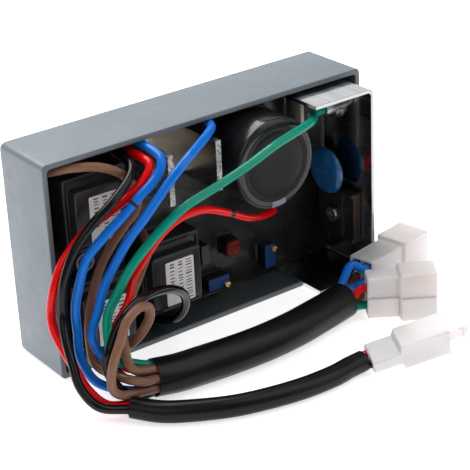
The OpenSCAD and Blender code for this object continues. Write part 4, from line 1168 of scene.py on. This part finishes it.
# Free run of each wire, between its first stretch and its sleeve
RUNS = {
    "red_main": (
        (-31.5, -18, 75.5), (-32, -22.5, 74.3), (-36, -24, 70.5), (-42, -23, 66), (-50, -22, 62),
        (-57, -21, 58.5), (-63, -20.5, 54), (-69, -20.5, 48), (-73, -20.5, 40), (-75, -20.5, 32),
        (-76, -23, 26), (-76, -28, 21), (-76, -35, 16), (-75, -41, 10), (-71.5, -47, 5.5),
    ),
    "black_main": (
        (-37, -17, 75.5), (-41, -23, 73), (-51, -27, 68), (-60, -27, 62), (-67, -26, 54), (-72, -25.5, 43),
        (-74, -26.5, 32), (-76, -30.5, 26), (-78, -37, 20), (-79, -43, 13), (-76, -49.5, 7.5),
    ),
    "blue_left": (
        (-28.6, -20, 78.2), (-29.5, -26, 76.5), (-33.5, -28, 72), (-41, -28, 67), (-48, -28, 62),
        (-56, -28, 57), (-63, -27.5, 51), (-66, -27, 44), (-69, -27, 34), (-70, -28.5, 26),
        (-71.5, -32, 17), (-69, -37, 9),
    ),
    "blue_right": (
        (-1, -16, 78.8), (-7, -22, 79), (-15, -27, 78), (-24, -31, 75.5), (-33, -32, 69), (-41, -31.5, 61),
        (-48, -30.5, 54), (-54, -30.5, 47), (-59, -30.5, 40), (-63, -32, 33), (-67, -33.5, 22.5),
    ),
    "green": (
        (46, -15, 70), (40, -23, 72), (32, -28, 73), (17, -30.5, 71), (3, -31.5, 67), (-9, -32, 64),
        (-19, -32.5, 62), (-27, -33, 60), (-37, -33.5, 55), (-46, -34, 49), (-52, -34.5, 44),
        (-57, -35, 38), (-62.5, -36.5, 31.5), (-65, -40.5, 22), (-64, -42, 17.5),
    ),
    "red_thin": (
        (24, -13, 35), (13, -18, 39), (4, -20, 44), (-7, -23, 50), (-14, -24.5, 52.5), (-23, -26, 53),
        (-32, -28, 51), (-40, -30, 46.5), (-48, -32, 40), (-54, -36.5, 34), (-61.5, -37, 24),
    ),
    "brown_corner": (
        (-58, -13, 78), (-50, -16.5, 77.3), (-43, -18, 74), (-38, -18.3, 69), (-35.5, -18.5, 63.5),
        (-37, -19, 58), (-44, -20, 53), (-53, -21.5, 45), (-58, -22.5, 37), (-62, -24, 28),
        (-65, -27.5, 19.5), (-67, -35.5, 13.5),
    ),
    "brown_middle": (
        (-31, -16, 40.5), (-38, -22, 37), (-46, -28, 33), (-52.5, -32.5, 28), (-59.5, -41, 24),
    ),
    "brown_loop": (
        (-64, -18, 7), (-62, -25, 11), (-59, -32, 15), (-55, -37.5, 19), (-52, -41, 24), (-50, -43.5, 30),
        (-51, -45, 35), (-56, -46.5, 37), (-62, -48, 34.5), (-66, -49.5, 29), (-69.5, -50, 22.5),
        (-71, -50, 16.5), (-70, -49.5, 11.5), (-66.5, -49.5, 8.5),
    ),
    "black_loop": (
        (-22, -17, 9), (-21.5, -23, 16), (-25, -28, 24), (-32, -33, 30.5), (-41, -37.5, 35),
        (-50, -41, 37), (-58, -43, 35), (-64, -44, 30), (-68, -45.5, 24.5), (-69.5, -45, 19),
        (-67.5, -46, 12),
    ),
}
# Place of a wire in its sleeve: its number round the wide one, or its side in the narrow one
AROUND = {"black_loop": 0, "brown_loop": 1, "brown_corner": 2, "brown_middle": 3, "green": 4, "red_thin": 5,
          "blue_right": 6, "blue_left": 7}
BESIDE = {"red_main": -1, "black_main": 1}
# Last point of a wire before the six-way plug, in that plug's frame
STUBS = {"blue_left": (-5.5, 0.5, 8.0), "blue_right": (-5.5, -1.5, -0.5)}
# The plug that a wire ends in, and the column and row of its cell there
CELLS = {
    "red_main": (LATCHED, 0, 0),
    "black_main": (LATCHED, 1, 0),
    "blue_left": (SIX, 1, 2),
    "blue_right": (SIX, 1, 1),
    "black_loop": (SIX, 0, 2),
    "brown_loop": (SIX, 0, 1),
    "brown_corner": (SIX, 0, 0),
    "brown_middle": (SIX, 1, 0),
    "green": (PAIR, 0, 0),
    "red_thin": (PAIR, 0, 1),
}
# How far a wire lies under its cell's middle
SAG = {"green": 0.8, "red_thin": 1.6}
# Ends of a wire's dark band along it
BANDS = {"red_thin": (42.3, 44.8), "blue_left": (45.2, 46.4)}


def beside(line, out, up):
    """Points next to a sleeve's middle line: out square to its level direction, and up."""
    p = np.asarray(line, float)
    t = np.concatenate([p[1:], p[-1:]]) - np.concatenate([p[:1], p[:-1]])
    t = unit(t * np.array([1.0, 1.0, 0.0]))
    return p + np.stack([t[:, 1] * out, -t[:, 0] * out, np.broadcast_to(up, len(p))], -1)


def in_wide(k):
    """Points of the k-th of eight wires that lie round the wide sleeve's middle line."""
    a = np.radians(RING_START + RING_STEP * k + np.asarray(TWIST_WIDE, float))
    r = np.where(np.arange(len(a)) == 0, GATHER * RING_R, RING_R)
    return beside(LINE_WIDE, r * np.cos(a), r * np.sin(a))


def in_narrow(side):
    """Points of one of the two wires in the narrow sleeve."""
    return beside(LINE_NARROW, np.full(len(LINE_NARROW), side * PAIR_R), 0.0)


def cell(name):
    """The plug that a wire ends in, and the wire's place there across and up."""
    plug, column, row = CELLS[name]
    return plug, plug["v"][column], plug["z"][row] - SAG.get(name, 0.0)


def route(name):
    """Points of a wire, from where it leaves the resin or the lug to the plug it ends in."""
    first = LUG
    if name in EXITS:
        x, z, z2 = EXITS[name]
        first = ((x, Y_FILL, z), (x, Y_FILL - EXIT_L, z2))
    laid = in_narrow(BESIDE[name]) if name in BESIDE else in_wide(AROUND[name])
    plug, v, z = cell(name)
    stops = [(a, -v, z) for a in (IN_LATCHED if plug is LATCHED else IN_CELL)]
    stub = [STUBS[name]] if name in STUBS else []
    return np.concatenate([first, RUNS[name], laid, in_plug(plug, stub + stops)])


def wire_finish(name):
    """Finish of a wire by the colour that its name starts with, with its dark band if it has one."""
    key = name.split("_")[0]
    return vinyl("wire_" + name, tint("black_wire" if key == "black" else key), band=BANDS.get(name))


def sleeve_surface(line, d, ridges):
    """Open tube of soft vinyl: r + ridge*cos(ridges*(a - turn)) outside, the ridge coming and going."""
    p = catmull(line, SLEEVE_GAP)
    a = np.linspace(0, 2 * np.pi, SLEEVE_SIDES, endpoint=False)
    turn = np.linspace(0, RIDGE_TURN, len(p))[:, None]
    slow = RIDGE_KEPT + (1 - RIDGE_KEPT) * np.sin(arc_length(p) / RIDGE_WAVE)[:, None]
    outer = d / 2 - RIDGE + RIDGE * slow * np.cos(ridges * (a - turn))
    inside = tube_rings(p, outer - SLEEVE_WALL, SLEEVE_SIDES)
    return skin(np.concatenate([tube_rings(p, outer, SLEEVE_SIDES), inside[::-1]]), loop=True)


class REGULATOR_OT_wires(Operator):
    bl_idname = "regulator.wires"
    bl_label = "Wires and Sleeves"

    def execute(self, context):
        s = sizes()
        soft = vinyl("sleeve_vinyl", tint("sleeve"), rough=0.28, shine=0.2)
        wide = sleeve_surface(LINE_WIDE[1:], s["sleeve_d"], ridges=8)
        narrow = sleeve_surface(LINE_NARROW, s["small_sleeve_d"], ridges=2)
        piece("wide_sleeve", [wide], soft, ["sleeve_wide"])
        piece("narrow_sleeve", [narrow], soft, ["sleeve_narrow"])
        brass = plated("contact_brass", tint("brass"), rough=0.25)
        for name in RUNS:
            d = s["thin_wire_d" if name == "red_thin" else "wire_d"]
            line = catmull(route(name), WIRE_GAP)
            along = arc_length(line)
            tube = skin(tube_rings(line, d / 2, WIRE_SIDES))
            cord = piece(name + "_cord", [tube], wire_finish(name),
                         ["wire_" + name], angle=60, along=np.repeat(along * MM, WIRE_SIDES))
            crimp = piece(name + "_terminal", [terminal_part(*cell(name))], brass,
                          [CELLS[name][0]["contacts"]])
        return {"FINISHED"}


# Floor, light and camera, in metres

FLOOR_HALF = 12.0
SKY = 0.2
# Area lights, as (name, place, size, power)
LIGHTS = (
    ("key", (-0.8, -0.45, 0.7), 0.7, 1.7),
    ("fill", (0.6, -0.75, 0.55), 0.7, 2.0),
    ("top", (0.3, -0.45, 0.95), 0.7, 2.6),
    ("back", (-0.05, 0.6, 1.05), 0.9, 16.5),
    ("rear", (0.75, 1.0, 0.62), 1.1, 2.0),
)
LIT = (0.0, -0.02, 0.04)
CAMERA = {"at": (-0.31781, -0.46724, 0.29877), "forward": (0.5274, 0.7321, -0.4311),
          "up": (0.2895, 0.3222, 0.9013), "lens": 127.5, "sensor": 36.0}


class REGULATOR_OT_stage(Operator):
    """Build the pale floor, the soft lights and the camera"""

    bl_idname = "regulator.stage"
    bl_label = "Stage"

    def execute(self, context):
        scene = context.scene
        corners = [(x * FLOOR_HALF, y * FLOOR_HALF, 0.0) for x, y in ((-1, -1), (1, -1), (1, 1), (-1, 1))]
        mesh = bpy.data.meshes.new("floor")
        mesh.from_pydata(corners, [], [(0, 1, 2, 3)])
        mesh.materials.append(sweep("floor_paper", tint("floor")))
        floor = bpy.data.objects.new("floor", mesh)
        scene.collection.objects.link(floor)
        world = bpy.data.worlds.new("studio")
        world.use_nodes = True
        sky = world.node_tree.nodes["Background"]
        sky.inputs["Color"].default_value = (1.0, 1.0, 1.0, 1.0)
        sky.inputs["Strength"].default_value = SKY
        scene.world = world
        for name, at, size, power in LIGHTS:
            light = bpy.data.lights.new(name, "AREA")
            light.size = size
            light.energy = power
            lamp = bpy.data.objects.new(name, light)
            lamp.location = at
            lamp.rotation_euler = (Vector(LIT) - Vector(at)).to_track_quat("-Z", "Y").to_euler()
            scene.collection.objects.link(lamp)
        camera = bpy.data.objects.new("camera", bpy.data.cameras.new("camera"))
        forward = Vector(CAMERA["forward"]).normalized()
        right = forward.cross(Vector(CAMERA["up"])).normalized()
        turn = Matrix((right, right.cross(forward), -forward)).transposed().to_4x4()
        camera.matrix_world = Matrix.Translation(CAMERA["at"]) @ turn
        camera.data.lens = CAMERA["lens"]
        camera.data.sensor_width = CAMERA["sensor"]
        scene.collection.objects.link(camera)
        scene.camera = camera
        scene.view_settings.view_transform = "Standard"
        return {"FINISHED"}


class REGULATOR_PT_panel(Panel):
    """Sizes, colours and build steps of the module"""

    bl_idname = "REGULATOR_PT_panel"
    bl_label = "Voltage Regulator"
    bl_space_type = "VIEW_3D"
    bl_region_type = "UI"
    bl_category = "Regulator"

    def draw(self, context):
        layout = self.layout
        for step in STEPS:
            layout.operator(step.bl_idname)
        for group in (context.scene.regulator_sizes, context.scene.regulator_colours):
            box = layout.box()
            for key in type(group).__annotations__:
                box.prop(group, key)


STEPS = (REGULATOR_OT_case, REGULATOR_OT_transformers, REGULATOR_OT_capacitors, REGULATOR_OT_bracket,
         REGULATOR_OT_parts, REGULATOR_OT_plugs, REGULATOR_OT_wires, REGULATOR_OT_stage)
CLASSES = (RegulatorSizes, RegulatorColours) + STEPS + (REGULATOR_PT_panel,)


def register():
    """Adds the classes and the scene's two property groups."""
    for cls in CLASSES:
        bpy.utils.register_class(cls)
    bpy.types.Scene.regulator_sizes = PointerProperty(type=RegulatorSizes)
    bpy.types.Scene.regulator_colours = PointerProperty(type=RegulatorColours)


def unregister():
    """Takes them away again."""
    del bpy.types.Scene.regulator_colours
    del bpy.types.Scene.regulator_sizes
    for cls in reversed(CLASSES):
        bpy.utils.unregister_class(cls)


def main():
    """Builds every piece in order and notes the model's box before and after."""
    register()
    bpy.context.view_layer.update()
    bpy.ops.regulator.case()
    bpy.ops.regulator.transformers()
    bpy.ops.regulator.capacitors()
    bpy.ops.regulator.bracket()
    bpy.ops.regulator.parts()
    bpy.ops.regulator.plugs()
    bpy.ops.regulator.wires()
    bpy.ops.regulator.stage()


if __name__ == "__main__":
    main()
